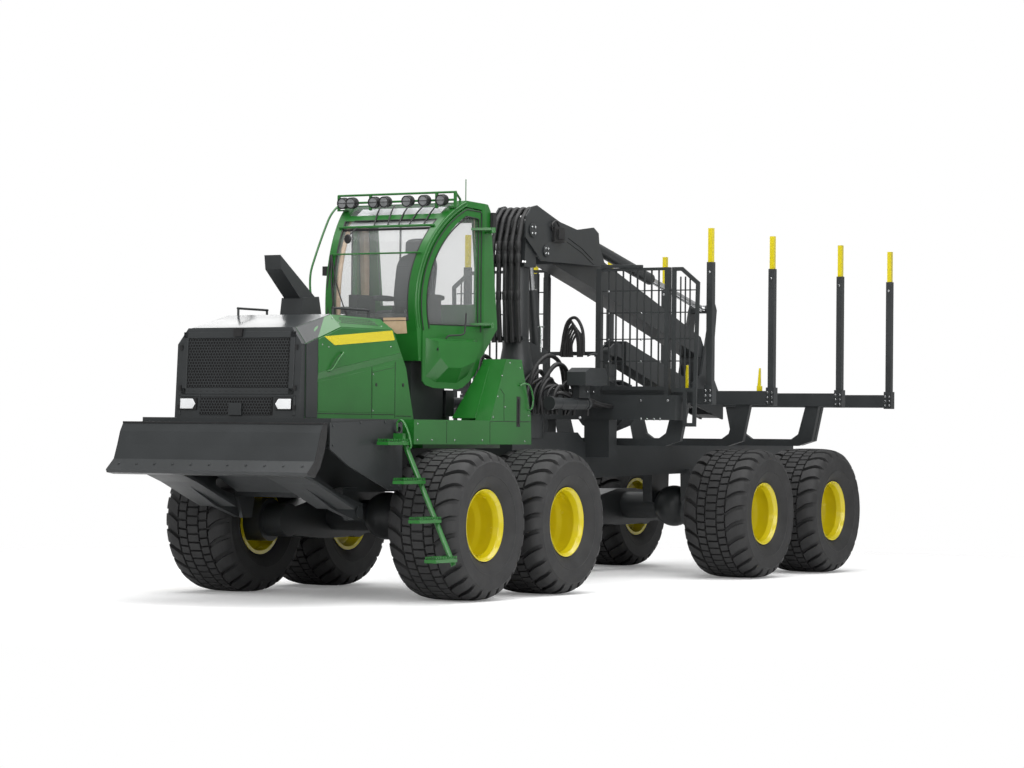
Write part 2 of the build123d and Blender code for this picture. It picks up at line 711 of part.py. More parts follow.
# Hinge heights: the bottom of the cab's knuckle
hinge_rows = (2560.0, 3480.0)
hinge_plate = 24.0
hinge_radius = 24.0
hinge_pin_radius = 10.0
screen_edge = 75.0
screen_top = 3600.0
roof_edge = 95.0
roof_glass_x = (2440.0, 2740.0)
rear_window_half = 560.0
with BuildPart() as cab_shell:
    add(cab_volume(0, 0))
    add(cab_volume(cab_wall, cab_wall), mode=Mode.SUBTRACT)
    flat_plate(cab_plan(2600, 3300, screen_edge), cab_belt_z + 40, screen_top, Mode.SUBTRACT)
    flat_plate(cab_plan(roof_glass_x[0], roof_glass_x[1], roof_edge), 3560, 3900, Mode.SUBTRACT)
    block(1900, 2400, -rear_window_half, rear_window_half, 2800, 3600, Mode.SUBTRACT)
    side_region(window_edge, cab_belt_z + 20, -1, Mode.SUBTRACT)
    side_region(door_edge, cab_floor_z + door_sill, 1, Mode.SUBTRACT)
    # Hinge arms with their pins
    for z in hinge_rows:
        flat_plate([(2180, cab_half_width - 10), (2270, cab_half_width - 10),
                    (door_hinge_x + 12, door_hinge_y - 18), (door_hinge_x - 18, door_hinge_y + 12)], z, z + hinge_plate)
        bar_between((door_hinge_x, door_hinge_y, z), (door_hinge_x, door_hinge_y, z + hinge_plate), hinge_radius)
        bar_between((door_hinge_x, door_hinge_y, z), (door_hinge_x, door_hinge_y, z + 2 * hinge_plate + 4),
                    hinge_pin_radius)
write(cab_shell.part, "cab_shell")

glass = 8.0
glass_gap = 0.6
with BuildPart() as screen_skin:
    add(cab_volume(20, 0))
    add(cab_volume(20 + glass, -10), mode=Mode.SUBTRACT)
with BuildPart() as windscreen:
    add(screen_skin.part)
    flat_plate(cab_plan(2600, 3300, screen_edge + glass_gap), cab_belt_z + 40 + glass_gap, screen_top - glass_gap,
               Mode.INTERSECT)
with BuildPart() as roof_pane:
    add(screen_skin.part)
    flat_plate(cab_plan(roof_glass_x[0] + glass_gap, roof_glass_x[1] - glass_gap, roof_edge + glass_gap), 3560, 3900,
               Mode.INTERSECT)
with BuildPart() as side_pane:
    side_region(window_edge + glass_gap, cab_belt_z + 20 + glass_gap, -1, Mode.ADD)
    side_strip(24, 24 + glass, -1)
with BuildPart() as cab_glass:
    add([windscreen.part, roof_pane.part, side_pane.part])
    with BuildSketch(Plane(origin=(2107.0, 0, 2801.5), x_dir=(0, 1, 0), z_dir=(1, 0, -0.128))) as pane:
        with Locations((0, 402)):
            Rectangle(2 * (rear_window_half - glass_gap), 802)
    extrude(pane.sketch, amount=glass)
write(cab_glass.part, "cab_glass")

# Door: frame around its window, and a moulded lower panel that bulges outwards.
# Outlines are (distance along the door, z), drawn at the door post's plane and then turned.
door_rim = [(3101, 2520), (3101, 2040), (3063, 2000), (2956, 1973), (2643, 1965), (2575, 1985), (2495, 2040),
            (2415, 2110), (2367, 2190), (2330, 2330), (2327, 2520)]
door_panel = [(3063, 2450), (3063, 2080), (2944, 2030), (2655, 2025), (2520, 2100), (2443, 2200),
              (2394, 2330), (2394, 2450)]
door_crest = [(2993, 2420), (2951, 2260), (2854, 2170), (2680, 2170), (2506, 2230), (2441, 2338), (2422, 2420)]
rim_thick = 14.0
with BuildPart() as door_skin:
    side_plate(door_rim, cab_half_width + 1, cab_half_width + 1 + rim_thick)
    with BuildSketch(Plane.XZ.offset(-cab_half_width - rim_thick)):
        with BuildLine():
            Polyline(*door_panel, close=True)
        make_face()
    with BuildSketch(Plane.XZ.offset(-cab_half_width - door_bulge)):
        with BuildLine():
            Polyline(*(door_crest + [(2575, 2425)]), close=True)
        make_face()
    loft(ruled=True)
with BuildPart() as cab_door:
    side_region(door_edge + door_gap, cab_floor_z + door_sill + door_gap, 1, Mode.ADD)
    side_strip(-2, door_wall, 1)
    side_region(window_edge - 20, cab_belt_z + 10, 1, Mode.SUBTRACT)
    add(door_skin.part.rotate(Axis((door_post_x, cab_half_width, 0), (0, 0, 1)), -taper_angle))
    for z in hinge_rows:
        lift = z + hinge_plate + 2
        flat_plate([(2345, cab_half_width - 40), (2440, cab_half_width - 62),
                    (door_hinge_x + 20, door_hinge_y + 8), (door_hinge_x - 20, door_hinge_y - 8)],
                   lift, lift + hinge_plate)
        bar_between((door_hinge_x, door_hinge_y, lift), (door_hinge_x, door_hinge_y, lift + hinge_plate), hinge_radius)
        bar_between((door_hinge_x, door_hinge_y, lift - 1), (door_hinge_x, door_hinge_y, lift + hinge_plate + 1),
                    hinge_pin_radius + seat_gap, Mode.SUBTRACT)
write(cab_door.part, "cab_door")

with BuildPart() as door_glass:
    side_region(window_edge - 20 + glass_gap, cab_belt_z + 10 + glass_gap, 1, Mode.ADD)
    side_strip(26, 26 + glass, 1)
write(door_glass.part, "door_glass")

interior_floor = cab_floor_z + cab_wall + 30
with BuildPart() as cab_interior:
    flat_plate([(2460, -630), (2460, 630), (3030, 460), (3030, -460)], cab_floor_z + cab_wall + seat_gap,
               interior_floor)
    side_plate([(2990, 2310), (3030, 2600), (2900, 2680), (2840, 2310)], -380, 240)
    for _, side in sides:
        low = min(side * 430, side * 330)
        block(2560, 2880, low, low + 100, interior_floor - 2, 2880)
write(cab_interior.part, "cab_interior")

with BuildPart() as cab_stand:
    block(2500, 3080, -420, 420, deck_z + seat_gap, cab_floor_z - seat_gap)
write(cab_stand.part, "cab_stand")

with BuildPart() as seat:
    block(2440, 2660, -180, 180, interior_floor + seat_gap, 2600)
    block(2340, 2800, -240, 240, 2595, 2740)
    side_plate([(2320, 2700), (2450, 2700), (2370, 3300), (2280, 3300)], -230, 230)
    side_plate([(2285, 3290), (2360, 3290), (2350, 3450), (2290, 3450)], -140, 140)
write(seat.part, "seat")

# Lamps: two head lamps in the grille's lower corners, seven work lamps under the roof bar
lamp_bar_x = 2675.0
lamp_bar_z = 3862.0
lamp_rail_z = 3788.0
lamp_radius = 52.0
lamp_places = (-600.0, -500.0, -240.0, -113.0, 146.0, 335.0, 533.0)
with BuildPart() as lamps:
    for _, side in sides:
        low = min(side * 608, side * 430)
        side_plate([(grille_x(1740) + seat_gap, 1740), (grille_x(1845) + seat_gap, 1845),
                    (grille_x(1845) + 20, 1845), (grille_x(1740) + 20, 1740)], low, low + 178)
    for y in lamp_places:
        with Locations(Plane(origin=(lamp_bar_x + 11.3, y, lamp_rail_z), z_dir=(1, 0, -0.1))):
            Cylinder(lamp_radius, 74, align=(Align.CENTER, Align.CENTER, Align.MIN))
write(lamps.part, "lamps")

# Roof bar: two rails on four feet, and the aerial beside it
bar_ends = (-690.0, 650.0)
with BuildPart() as roof_bar:
    for z in (lamp_bar_z, lamp_rail_z):
        bar_between((lamp_bar_x, bar_ends[0] - 11, z), (lamp_bar_x, bar_ends[1] + 11, z), 11)
    for y in (bar_ends[0], -320.0, 440.0, bar_ends[1]):
        foot_y = max(min(y, 590.0), -590.0)
        block(lamp_bar_x - 12, lamp_bar_x + 12, y - 12, y + 12, roof_z(lamp_bar_x - 12) + 2, lamp_bar_z)
        block(lamp_bar_x - 12, lamp_bar_x + 12, min(y, foot_y) - 12, max(y, foot_y) + 12,
              roof_z(lamp_bar_x - 12) + seat_gap, roof_z(lamp_bar_x - 12) + 14)
    bar_between((lamp_bar_x, bar_ends[1], lamp_bar_z), (2440, 560, 3812), 11)
    bar_between((2440, 560, 3812), (2440, 560, 3783), 11)
    bar_between((2400, 600, 3778.5), (2400, 600, 4005), 5)
write(roof_bar.part, "roof_bar")

# Ladder: one diagonal stringer with four cantilevered treads
ladder_top = (4335.0, 1120.0, 1520.0)
ladder_foot = (4335.0, 1690.0, 360.0)
with BuildPart() as ladder:
    bar_between(ladder_top, ladder_foot, 24)
    for i in range(4):
        t = 0.06 + i * 0.30
        y = ladder_top[1] + t * (ladder_foot[1] - ladder_top[1])
        z = ladder_top[2] + t * (ladder_foot[2] - ladder_top[2])
        block(4335, 4700, y - 60, y + 60, z - 15, z + 15)
    block(4311, 4359, skirt_half_width + seat_gap, 1150, 1440, 1540)
write(ladder.part, "ladder")

# Rear frame: twin fork, backbone, crane base, cross box under the gate
fork_low = articulation_z - tongue_half_height - fork_gap
fork_high = articulation_z + tongue_half_height + fork_gap
side_tube_y = 640.0
side_tube_z = 1855.0
side_tube_radius = 57.0
with BuildPart() as rear_frame:
    for low, high in ((fork_low - fork_plate, fork_low), (fork_high, fork_high + fork_plate)):
        with Locations((articulation_x, 0, (low + high) / 2)):
            Cylinder(knuckle_radius, high - low)
        flat_plate([(articulation_x, -knuckle_radius), (articulation_x, knuckle_radius),
                    (850, rear_frame_half_width), (850, -rear_frame_half_width)], low, high)
    with Locations((articulation_x, 0, articulation_z)):
        Cylinder(knuckle_pin_radius, 2 * (tongue_half_height + fork_gap) + 20)
    side_plate([(860, 960), (860, 1440), (700, 1560), (-500, 1560), (-700, rear_frame_top),
                (rear_frame_end_x, rear_frame_top), (rear_frame_end_x, 1150), (-700, rear_frame_low),
                (400, 960)], -rear_frame_half_width, rear_frame_half_width)
    with Locations((slew_x, 0, (1500 + crane_base_top) / 2)):
        Cylinder(290, crane_base_top - 1500)
    for _, side in sides:
        bar_between((12, side * side_tube_y, side_tube_z), (815, side * side_tube_y, side_tube_z), side_tube_radius)
        bar_between((770, side * side_tube_y, side_tube_z), (815, side * side_tube_y, side_tube_z),
                    side_tube_radius + 14)
        low = min(side * 200, side * side_tube_y)
        block(250, 530, low, low + side_tube_y - 200, 1790, 1850)
        low = min(side * 240, side * 500)
        block(-840, -670, low - 20, low + 280, 1300, 1700)
        # Brackets and pin of the steering cylinder's foot
        for low in (articulation_z + lug_gap, articulation_z - lug_gap - lug_plate):
            flat_plate([(steer_base[0] - 120, side * 200), (steer_base[0] + 120, side * 200),
                        (steer_base[0] + 50, side * (steer_base[1] + 40)),
                        (steer_base[0] - 50, side * (steer_base[1] + 40))], low, low + lug_plate)
        bar_between((steer_base[0], side * steer_base[1], articulation_z - lug_gap - 10),
                    (steer_base[0], side * steer_base[1], articulation_z + lug_gap + 10), 24)
    block(-840, -650, -1314, 1314, 1697, 1958)
    saddles(rear_bogie_x, 180, 300, 1160)
write(rear_frame.part, "rear_frame")

with BuildPart() as valve_box:
    side_plate([(347, 2044), (347, 2180), (250, 2226), (-60, 2226), (-120, 2150), (-120, 2044)], 580, 800)
    block(40, 260, 600, 680, side_tube_z + side_tube_radius + seat_gap, 2050)
write(valve_box.part, "valve_box")

# Bunk: beams with legs, sockets and stakes
with BuildPart() as bolsters:
    for x, leg_y in bolster_rows:
        block(x - beam_wide / 2, x + beam_wide / 2, -stake_y, stake_y, beam_low, beam_high)
        for _, side in sides:
            y = side * stake_y
            block(x - socket_size / 2, x + socket_size / 2, y - socket_size / 2, y + socket_size / 2,
                  socket_low, socket_high)
            block(x - stake_size / 2, x + stake_size / 2, y - stake_size / 2, y + stake_size / 2,
                  socket_high - 10, stake_top)
        legs = mirrored([(leg_y - 270, rear_frame_top + seat_gap), (leg_y - 90, 1480), (leg_y, beam_low + 10)])
        opening = mirrored([(leg_y - 350, 1500), (leg_y - 260, 1560), (leg_y - 170, beam_low)])
        cross_plate(legs, x - 30, x + 30)
        cross_plate(opening, x - 31, x + 31, Mode.SUBTRACT)
write(bolsters.part, "bolsters")

with BuildPart() as stake_tips:
    for x, _ in bolster_rows:
        for _, side in sides:
            y = side * stake_y
            block(x - tip_size / 2, x + tip_size / 2, y - tip_size / 2, y + tip_size / 2,
                  stake_top + seat_gap, tip_top)
write(stake_tips.part, "stake_tips")

# Headgate: posts, bars and wings, with a notch for the boom
gate_foot = 1958 + seat_gap
inner_post_top = 3216.0
gate_levels = (2311.0, 2543.0, 2821.0, 3053.0)
with BuildPart() as headgate:
    for _, side in sides:
        for y, high, half in ((gate_notch_half + 30, inner_post_top, 30), (gate_half_width - 20, gate_top, 26)):
            block(gate_x - 30, gate_x + 30, side * y - half, side * y + half, gate_foot, high)
        low = min(side * gate_notch_half, side * gate_half_width)
        run = gate_half_width - gate_notch_half
        block(gate_x - 20, gate_x + 20, low, low + run, gate_top - 30, gate_top)
        block(gate_x - 20, gate_x + 20, low, low + run, gate_low, gate_low + 40)
        block(gate_x - 20, gate_x + 20, side * (gate_notch_half + 30) - 30, side * (gate_notch_half + 30) + 30,
              inner_post_top - 5, gate_top - 5)
        wing = ((gate_wing_in, 1990), (gate_wing_in, gate_top), (1312, gate_top), (1513, 3138),
                (gate_wing_y, 1631), (1330, 1631), (1330, 1990))
        upper = ((gate_wing_in + 46, 2036), (gate_wing_in + 46, gate_top - 40), (1298, gate_top - 40),
                 (1472, 3118), (1450, 2036))
        lower = ((1370, 1670), (1370, 1996), (1448, 1996), (1441, 1670))
        cross_plate([(side * y, z) for y, z in wing], gate_x - 12, gate_x + 12)
        for hole in (upper, lower):
            cross_plate([(side * y, z) for y, z in hole], gate_x - 13, gate_x + 13, Mode.SUBTRACT)
        low_wing = min(side * (gate_half_width - 30), side * (gate_wing_y - 20))
        for z in gate_levels:
            block(gate_x - 16, gate_x - 6, low, low + run, z, z + 12)
            block(gate_x - 16, gate_x - 6, low_wing, low_wing + gate_wing_y - gate_half_width + 10, z, z + 12)
        for y in (1290, 1345, 1400):
            block(gate_x - 7, gate_x + 7, side * y - 6, side * y + 6, 2030, 3200)
        bar_count = int((run - 80) / gate_bar_pitch)
        for i in range(1, bar_count + 1):
            y = side * (gate_notch_half + 60 + i * gate_bar_pitch)
            block(gate_x - 8, gate_x + 8, y - gate_bar / 2, y + gate_bar / 2, gate_low + 30, gate_top - 20)
    block(gate_x - 20, gate_x + 20, -gate_notch_half - 5, gate_notch_half + 5, 2380, 2420)
write(headgate.part, "headgate")

# Crane pillar: flange, cone, tube, boom ears, foot ears of the lift cylinder
ear_outer = head_half_width - head_plate - clear
ear_inner = ear_outer - 62
lift_foot_half = 72.0
with BuildPart() as crane_pillar:
    with Locations((slew_x, 0, crane_base_top + seat_gap)):
        Cylinder(215, 240, align=(Align.CENTER, Align.CENTER, Align.MIN))
    with Locations((slew_x, 0, 2190)):
        Cone(185, pillar_radius, 320, align=(Align.CENTER, Align.CENTER, Align.MIN))
    with Locations((slew_x, 0, 2500)):
        Cylinder(pillar_radius, pillar_top - 2500, align=(Align.CENTER, Align.CENTER, Align.MIN))
    for _, side in sides:
        low = min(side * ear_inner, side * ear_outer)
        side_plate([(slew_x - 90, pillar_top - 30), (slew_x + 150, pillar_top - 30),
                    (boom_pin[0] + 85, boom_pin[1] - 40), (boom_pin[0] + 60, boom_pin[1] + 70),
                    (boom_pin[0] - 60, boom_pin[1] + 70), (boom_pin[0] - 85, boom_pin[1] - 40)],
                   low, low + ear_outer - ear_inner)
        # Hose clamp's posts, then the lift cylinder's ears
        block(350, 400, low, low + ear_outer - ear_inner, boom_pin[1] + 60, 3820)
        low = min(side * (lift_foot_half + clear), side * (lift_foot_half + clear + 30))
        side_plate([(340, 2250), (340, 2500), (lift_base[0] + 20, lift_base[1] + 80),
                    (lift_base[0] - 60, lift_base[1] + 50), (lift_base[0] - 60, lift_base[1] - 50),
                    (lift_base[0] + 30, lift_base[1] - 80)], low, low + 30)
    cross_bar(lift_base[0], lift_base[1], small_pin_radius, -lift_foot_half - clear - 20,
              lift_foot_half + clear + 20)
    block(slew_x - 90, slew_x + 150, -ear_outer, ear_outer, pillar_top - 70, pillar_top)
    block(350, 400, -ear_outer, ear_outer, 3800, 3832.5)
    block(490, 562, -ear_outer, ear_outer, 2500, 2540)
    cross_bar(boom_pin[0], boom_pin[1], main_pin_radius + seat_gap, -ear_outer - 1, ear_outer + 1, Mode.SUBTRACT)
write(crane_pillar.part, "crane_pillar")

eye_half = 54.0
with BuildPart() as lift_barrel:
    side_barrel(lift_base, lift_eye, 0, lift_barrel_length, lift_barrel_radius, lift_rod_radius,
                lift_rod_inside + 10, lift_foot_half, small_pin_radius)
write(lift_barrel.part, "lift_barrel")

with BuildPart() as lift_rod:
    side_rod(lift_base, lift_eye, 0, lift_barrel_length, lift_rod_radius, lift_rod_inside, eye_half, 58)
write(lift_rod.part, "lift_rod")

# Main boom: head plates, tapering box, elbow
boom_top = [(-150, 3640), (-1000, 3480), (-3560, 2660)]
boom_under = [(-3560, 2430), (-1000, 3110), (-150, 3320)]
elbow_radius = 72.0
plate_in = head_half_width - head_plate
stick_foot_half = 66.0
head_outline = [(560, 3560), (540, 3780), (440, 3880), (330, 3903), (220, 3870), (-150, 3760), (-520, 3700),
                (-880, 3745), (-990, 3690), (-1010, 3560), (-1150, 3340), (-900, 3335), (60, 3335), (230, 3335)]
with BuildPart() as main_boom:
    side_plate(boom_top + boom_under, -boom_half_width, boom_half_width)
    side_plate([(-300, 3600), (-850, 3495), (-850, 3350), (-300, 3345)], -plate_in - 5, plate_in + 5)
    side_plate([(-3450, 2690), (-3560, 2660), (-3720, 2440), (elbow_pin[0] - elbow_radius, elbow_pin[1]),
                (elbow_pin[0] + elbow_radius, elbow_pin[1]), (-3545, 2425), (-3450, 2460)],
               -boom_half_width, boom_half_width)
    cross_bar(elbow_pin[0], elbow_pin[1], elbow_radius, -boom_half_width, boom_half_width)
    cross_bar(elbow_pin[0], elbow_pin[1], main_pin_radius + seat_gap, -boom_half_width - 1,
              boom_half_width + 1, Mode.SUBTRACT)
    for _, side in sides:
        low = min(side * head_half_width, side * plate_in)
        side_plate(head_outline, low, low + head_plate)
        low = min(side * (eye_half + clear), side * (plate_in + 5))
        cross_bar(lift_eye[0], lift_eye[1], 58, low, low + plate_in + 5 - eye_half - clear)
        low = min(side * (stick_foot_half + clear), side * (plate_in + 5))
        cross_bar(stick_base[0], stick_base[1], 58, low, low + plate_in + 5 - stick_foot_half - clear)
    cross_bar(stick_base[0], stick_base[1], small_pin_radius, -stick_foot_half - 20, stick_foot_half + 20)
    cross_bar(boom_pin[0], boom_pin[1], main_pin_radius, -plate_in - 5, plate_in + 5)
write(main_boom.part, "main_boom")

# Outer boom, folded under the main boom
stick_top_slope = math.tan(math.radians(14.7))


def stick_z(x, drop):
    """Height of a line parallel to the outer boom's top edge, drop below it."""
    return 2450 + (x + 2300) * stick_top_slope - drop


stick_front_x = -1800.0
stick_back_x = -4080.0
lever_in = boom_half_width + clear
lever_out = lever_in + lever_plate
with BuildPart() as outer_boom:
    side_plate([(stick_front_x, stick_z(stick_front_x, 20)), (-3450, stick_z(-3450, 20)),
                (-3450, stick_z(-3450, 300)), (stick_front_x, stick_z(stick_front_x, 280))],
               -stick_half_width, stick_half_width)
    side_plate([(-1500, stick_z(-1500, 73)), (-3300, stick_z(-3300, 73)),
                (-3300, stick_z(-3300, 226 + seat_gap)), (-1500, stick_z(-1500, 226 + seat_gap))],
               -extension_half_width - 0.6, extension_half_width + 0.6, Mode.SUBTRACT)
    side_plate([(-3310, stick_z(-3310, 90)), (-3450, stick_z(-3450, 90)), (-3450, stick_z(-3450, 270)),
                (-3310, stick_z(-3310, 270))], -lever_in - 1, lever_in + 1)
    side_plate([(-3790, stick_z(-3790, 130)), (stick_back_x + 20, stick_z(-4060, 100)),
                (stick_back_x + 20, stick_z(-4060, 250)), (-3790, stick_z(-3790, 280))],
               -lever_in - 1, lever_in + 1)
    for _, side in sides:
        low = min(side * lever_in, side * lever_out)
        side_plate([(-3310, stick_z(-3310, 60)), (-3520, 2230), (lever_pin[0] + 70, lever_pin[1] - 10),
                    (lever_pin[0] + 30, lever_pin[1] + 60), (lever_pin[0] - 30, lever_pin[1] + 60),
                    (lever_pin[0] - 70, lever_pin[1] - 10), (-3790, 2250), (stick_back_x, stick_z(stick_back_x, 90)),
                    (stick_back_x, stick_z(stick_back_x, 260)), (-3310, stick_z(-3310, 290))],
                   low, low + lever_plate)
        low = min(side * (eye_half + clear), side * (lever_in + 5))
        cross_bar(lever_pin[0], lever_pin[1], 50, low, low + lever_in + 5 - eye_half - clear)
    cross_bar(elbow_pin[0], elbow_pin[1], main_pin_radius, -lever_in - 5, lever_in + 5)
write(outer_boom.part, "outer_boom")

tip_ear_in = 42.0
tip_ear_out = 62.0
with BuildPart() as extension:
    side_plate([(-1640, stick_z(-1640, 74)), (-3280, stick_z(-3280, 74)),
                (-3280, stick_z(-3280, 226)), (-1640, stick_z(-1640, 226))],
               -extension_half_width, extension_half_width)
    for _, side in sides:
        low = min(side * tip_ear_in, side * tip_ear_out)
        side_plate([(-1700, 2530), (-1620, 2530), (tip_pin[0] + 40, tip_pin[1] + 40),
                    (tip_pin[0] + 40, tip_pin[1] - 40), (tip_pin[0] - 40, tip_pin[1] - 50), (-1700, 2400)],
                   low, low + tip_ear_out - tip_ear_in)
    cross_bar(tip_pin[0], tip_pin[1], small_pin_radius, -tip_ear_in - 10, tip_ear_in + 10)
write(extension.part, "extension")

# Link, rotator and grapple hang from the tip pin
rotator_top = tip_pin[1] - 150
rotator_low = rotator_top - 110
with BuildPart() as grapple_link:
    side_plate([(tip_pin[0] - 34, tip_pin[1]), (tip_pin[0] + 34, tip_pin[1]), (tip_pin[0] + 45, rotator_top),
                (tip_pin[0] - 45, rotator_top)], -36, 36)
    cross_bar(tip_pin[0], tip_pin[1], 46, -36, 36)
    cross_bar(tip_pin[0], tip_pin[1], small_pin_radius + seat_gap, -37, 37, Mode.SUBTRACT)
    with Locations((tip_pin[0], 0, rotator_low)):
        Cylinder(105, 120, align=(Align.CENTER, Align.CENTER, Align.MIN))
write(grapple_link.part, "grapple_link")

head_top = rotator_low - seat_gap
claw_pin_y = 150.0
claw_pin_z = head_top - 150
claw_half = 142.0
frame_in = claw_half + clear
with BuildPart() as grapple_head:
    with Locations((tip_pin[0], 0, head_top - 50)):
        Cylinder(95, 50, align=(Align.CENTER, Align.CENTER, Align.MIN))
    cheek = mirrored([(220, claw_pin_z - 50), (220, claw_pin_z + 50), (90, head_top - 45)])
    for x in (tip_pin[0] - frame_in - 22, tip_pin[0] + frame_in):
        cross_plate(cheek, x, x + 22)
    block(tip_pin[0] - frame_in - 22, tip_pin[0] + frame_in + 22, -90, 90, head_top - 65, head_top - 45)
    for _, side in sides:
        bar_between((tip_pin[0] - frame_in - 5, side * claw_pin_y, claw_pin_z),
                    (tip_pin[0] + frame_in + 5, side * claw_pin_y, claw_pin_z), small_pin_radius)
write(grapple_head.part, "grapple_head")

# Claw outlines seen along X, measured from the claw's pin: y outwards, z
claw_outer = [(-40, 25), (0, 44), (60, 30), (180, -110), (180, -260), (70, -390), (-144, -470)]
claw_inner = [(-144, -430), (50, -340), (120, -240), (110, -130), (-10, -44)]
claw_shell = [(180, -110), (180, -260), (70, -390), (-144, -470), (-144, -450), (58, -372), (156, -255), (156, -115)]
for side_name, side in sides:
    def placed(points):
        """The claw's outline on its own side of the machine."""
        return [(side * (claw_pin_y + y), claw_pin_z + z) for y, z in points]

    with BuildPart() as claw:
        for x in (-claw_half, -11, claw_half - 22):
            cross_plate(placed(claw_outer + claw_inner), tip_pin[0] + x, tip_pin[0] + x + 22)
        cross_plate(placed(claw_shell), tip_pin[0] - claw_half, tip_pin[0] + claw_half)
        bar_between((tip_pin[0] - claw_half, side * claw_pin_y, claw_pin_z),
                    (tip_pin[0] + claw_half, side * claw_pin_y, claw_pin_z), 44)
        bar_between((tip_pin[0] - claw_half - 1, side * claw_pin_y, claw_pin_z),
                    (tip_pin[0] + claw_half + 1, side * claw_pin_y, claw_pin_z),
                    small_pin_radius + seat_gap, Mode.SUBTRACT)
    write(claw.part, "claw_" + side_name)

with BuildPart() as stick_barrel:
    side_barrel(stick_base, lever_pin, 0, stick_barrel_length, stick_barrel_radius, stick_rod_radius,
                stick_rod_inside + 640, stick_foot_half, small_pin_radius)
write(stick_barrel.part, "stick_barrel")

with BuildPart() as stick_rod:
    side_rod(stick_base, lever_pin, 0, stick_barrel_length, stick_rod_radius, stick_rod_inside, eye_half, 50)
write(stick_rod.part, "stick_rod")

# Steering cylinders low at each side of the articulation
steer_half = lug_gap - clear
for side_name, side in sides:
    base = Vector(steer_base[0], side * steer_base[1], articulation_z)
    eye = Vector(steer_eye[0], side * steer_eye[1], articulation_z)
    run = (eye - base).normalized()
    with BuildPart() as steer_barrel:
        with Locations(tuple(base)):
            Cylinder(46, 2 * steer_half)
        barrel_of(base, run, steer_barrel_length, steer_barrel_radius, steer_rod_radius, steer_rod_inside + 315)
        with Locations(tuple(base)):
            Cylinder(24 + seat_gap, 2 * steer_half + 2, mode=Mode.SUBTRACT)
    write(steer_barrel.part, "steer_barrel_" + side_name)
    with BuildPart() as steer_rod:
        rod_of(base, run, steer_barrel_length, steer_rod_radius, steer_rod_inside, (eye - base).length)
        with Locations(tuple(eye)):
            Cylinder(44, 2 * steer_half)
            Cylinder(24, 2 * steer_half + 2, mode=Mode.SUBTRACT)
    write(steer_rod.part, "steer_rod_" + side_name)

# Hoses: a loop over the crane head
hose_radius = 24.0
with BuildPart() as crane_hoses:
    for y in (-150, -75, 0, 75, 150):
        with BuildLine() as route:
            FilletPolyline((590, y, 2480), (630, y, 2900), (625, y, 3500), (545, y, 3750), (430, y, 3865),
                           (300, y, 3852), radius=(90, 300, 160, 100))
        with BuildSketch(Plane(origin=(590, y, 2480), z_dir=(40, 0, 420))):
            Circle(hose_radius)
        sweep(path=route.line)
write(crane_hoses.part, "crane_hoses")
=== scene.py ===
# %% [markdown]
# # Forestry forwarder, the visible model
# The imported frame gives every CAD node in metres, +X forward, +Y the machine's left, +Z up.
# The engineering shapes stay as they are. This script adds what a look from close by asks
# for: tread, bolts, seals, hoses, trim, finishes, light and camera. It starts by loading
# the frame.

# %% Load the frame
import math

import bmesh
import bpy
import numpy as np
from mathutils import Matrix, Vector


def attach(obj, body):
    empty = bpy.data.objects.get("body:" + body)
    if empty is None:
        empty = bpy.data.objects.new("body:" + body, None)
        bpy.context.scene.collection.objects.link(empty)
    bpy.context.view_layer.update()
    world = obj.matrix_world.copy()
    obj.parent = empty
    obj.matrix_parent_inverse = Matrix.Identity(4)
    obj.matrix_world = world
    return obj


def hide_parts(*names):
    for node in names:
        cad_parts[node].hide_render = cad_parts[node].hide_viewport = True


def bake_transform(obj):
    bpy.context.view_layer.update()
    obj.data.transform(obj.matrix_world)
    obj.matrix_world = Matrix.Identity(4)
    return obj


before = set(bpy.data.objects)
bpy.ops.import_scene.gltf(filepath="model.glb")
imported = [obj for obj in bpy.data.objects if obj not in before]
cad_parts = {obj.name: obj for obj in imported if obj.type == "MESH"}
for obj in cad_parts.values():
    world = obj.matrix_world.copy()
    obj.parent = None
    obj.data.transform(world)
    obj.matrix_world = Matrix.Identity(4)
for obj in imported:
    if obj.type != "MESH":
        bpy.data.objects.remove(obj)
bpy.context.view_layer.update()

# %% [markdown]
# ## Mesh tools
# Everything that is added is a surface of numpy arrays. Each tool returns points and lists
# of faces, so that many small pieces on one body can share one object. Lengths are in
# millimetres up to the last step, as on a drawing, and the object gets metres.

# %% Mesh tools
MM = 1000.0  # millimetres in a metre
FRONT, REAR = "front_frame", "rear_frame"  # the bodies that carry most of the pieces
ORIGIN, X, Y, Z = (0, 0, 0), (1, 0, 0), (0, 1, 0), (0, 0, 1)


def grid(rows, columns, wrap_rows=False, wrap_columns=False):
    """Four-sided faces between neighbours on a grid of points stored row by row."""
    r = np.arange(rows if wrap_rows else rows - 1)[:, None]
    c = np.arange(columns if wrap_columns else columns - 1)[None, :]
    r2, c2 = (r + 1) % rows, (c + 1) % columns
    corners = (r * columns + c, r * columns + c2, r2 * columns + c2, r2 * columns + c)
    return np.stack(corners, -1).reshape(-1, 4)


def end_faces(rows, columns):
    """The first row of a grid, and the last one turned over, as two faces."""
    return np.stack([np.arange(columns), (rows - 1) * columns + np.arange(columns)[::-1]])


def round_angles(count):
    """Angles t = 2 pi k / count, for k from 0 to count - 1."""
    return np.linspace(0, 2 * np.pi, count, endpoint=False)


def xyz(x, y, z):
    """Points (x, y, z) as rows. A single number stands for all of them."""
    return np.stack(np.broadcast_arrays(x, y, z), -1)


def directions(run):
    """Two unit vectors across each row of run. The first is the cross product with the axis
    that run follows least."""
    run = run / np.linalg.norm(run, axis=-1, keepdims=True)
    helper = np.eye(3)[np.argmin(np.abs(run).sum(0) if run.ndim > 1 else np.abs(run))]
    first = np.cross(run, helper)
    first = first / np.linalg.norm(first, axis=-1, keepdims=True)
    return first, np.cross(run, first)


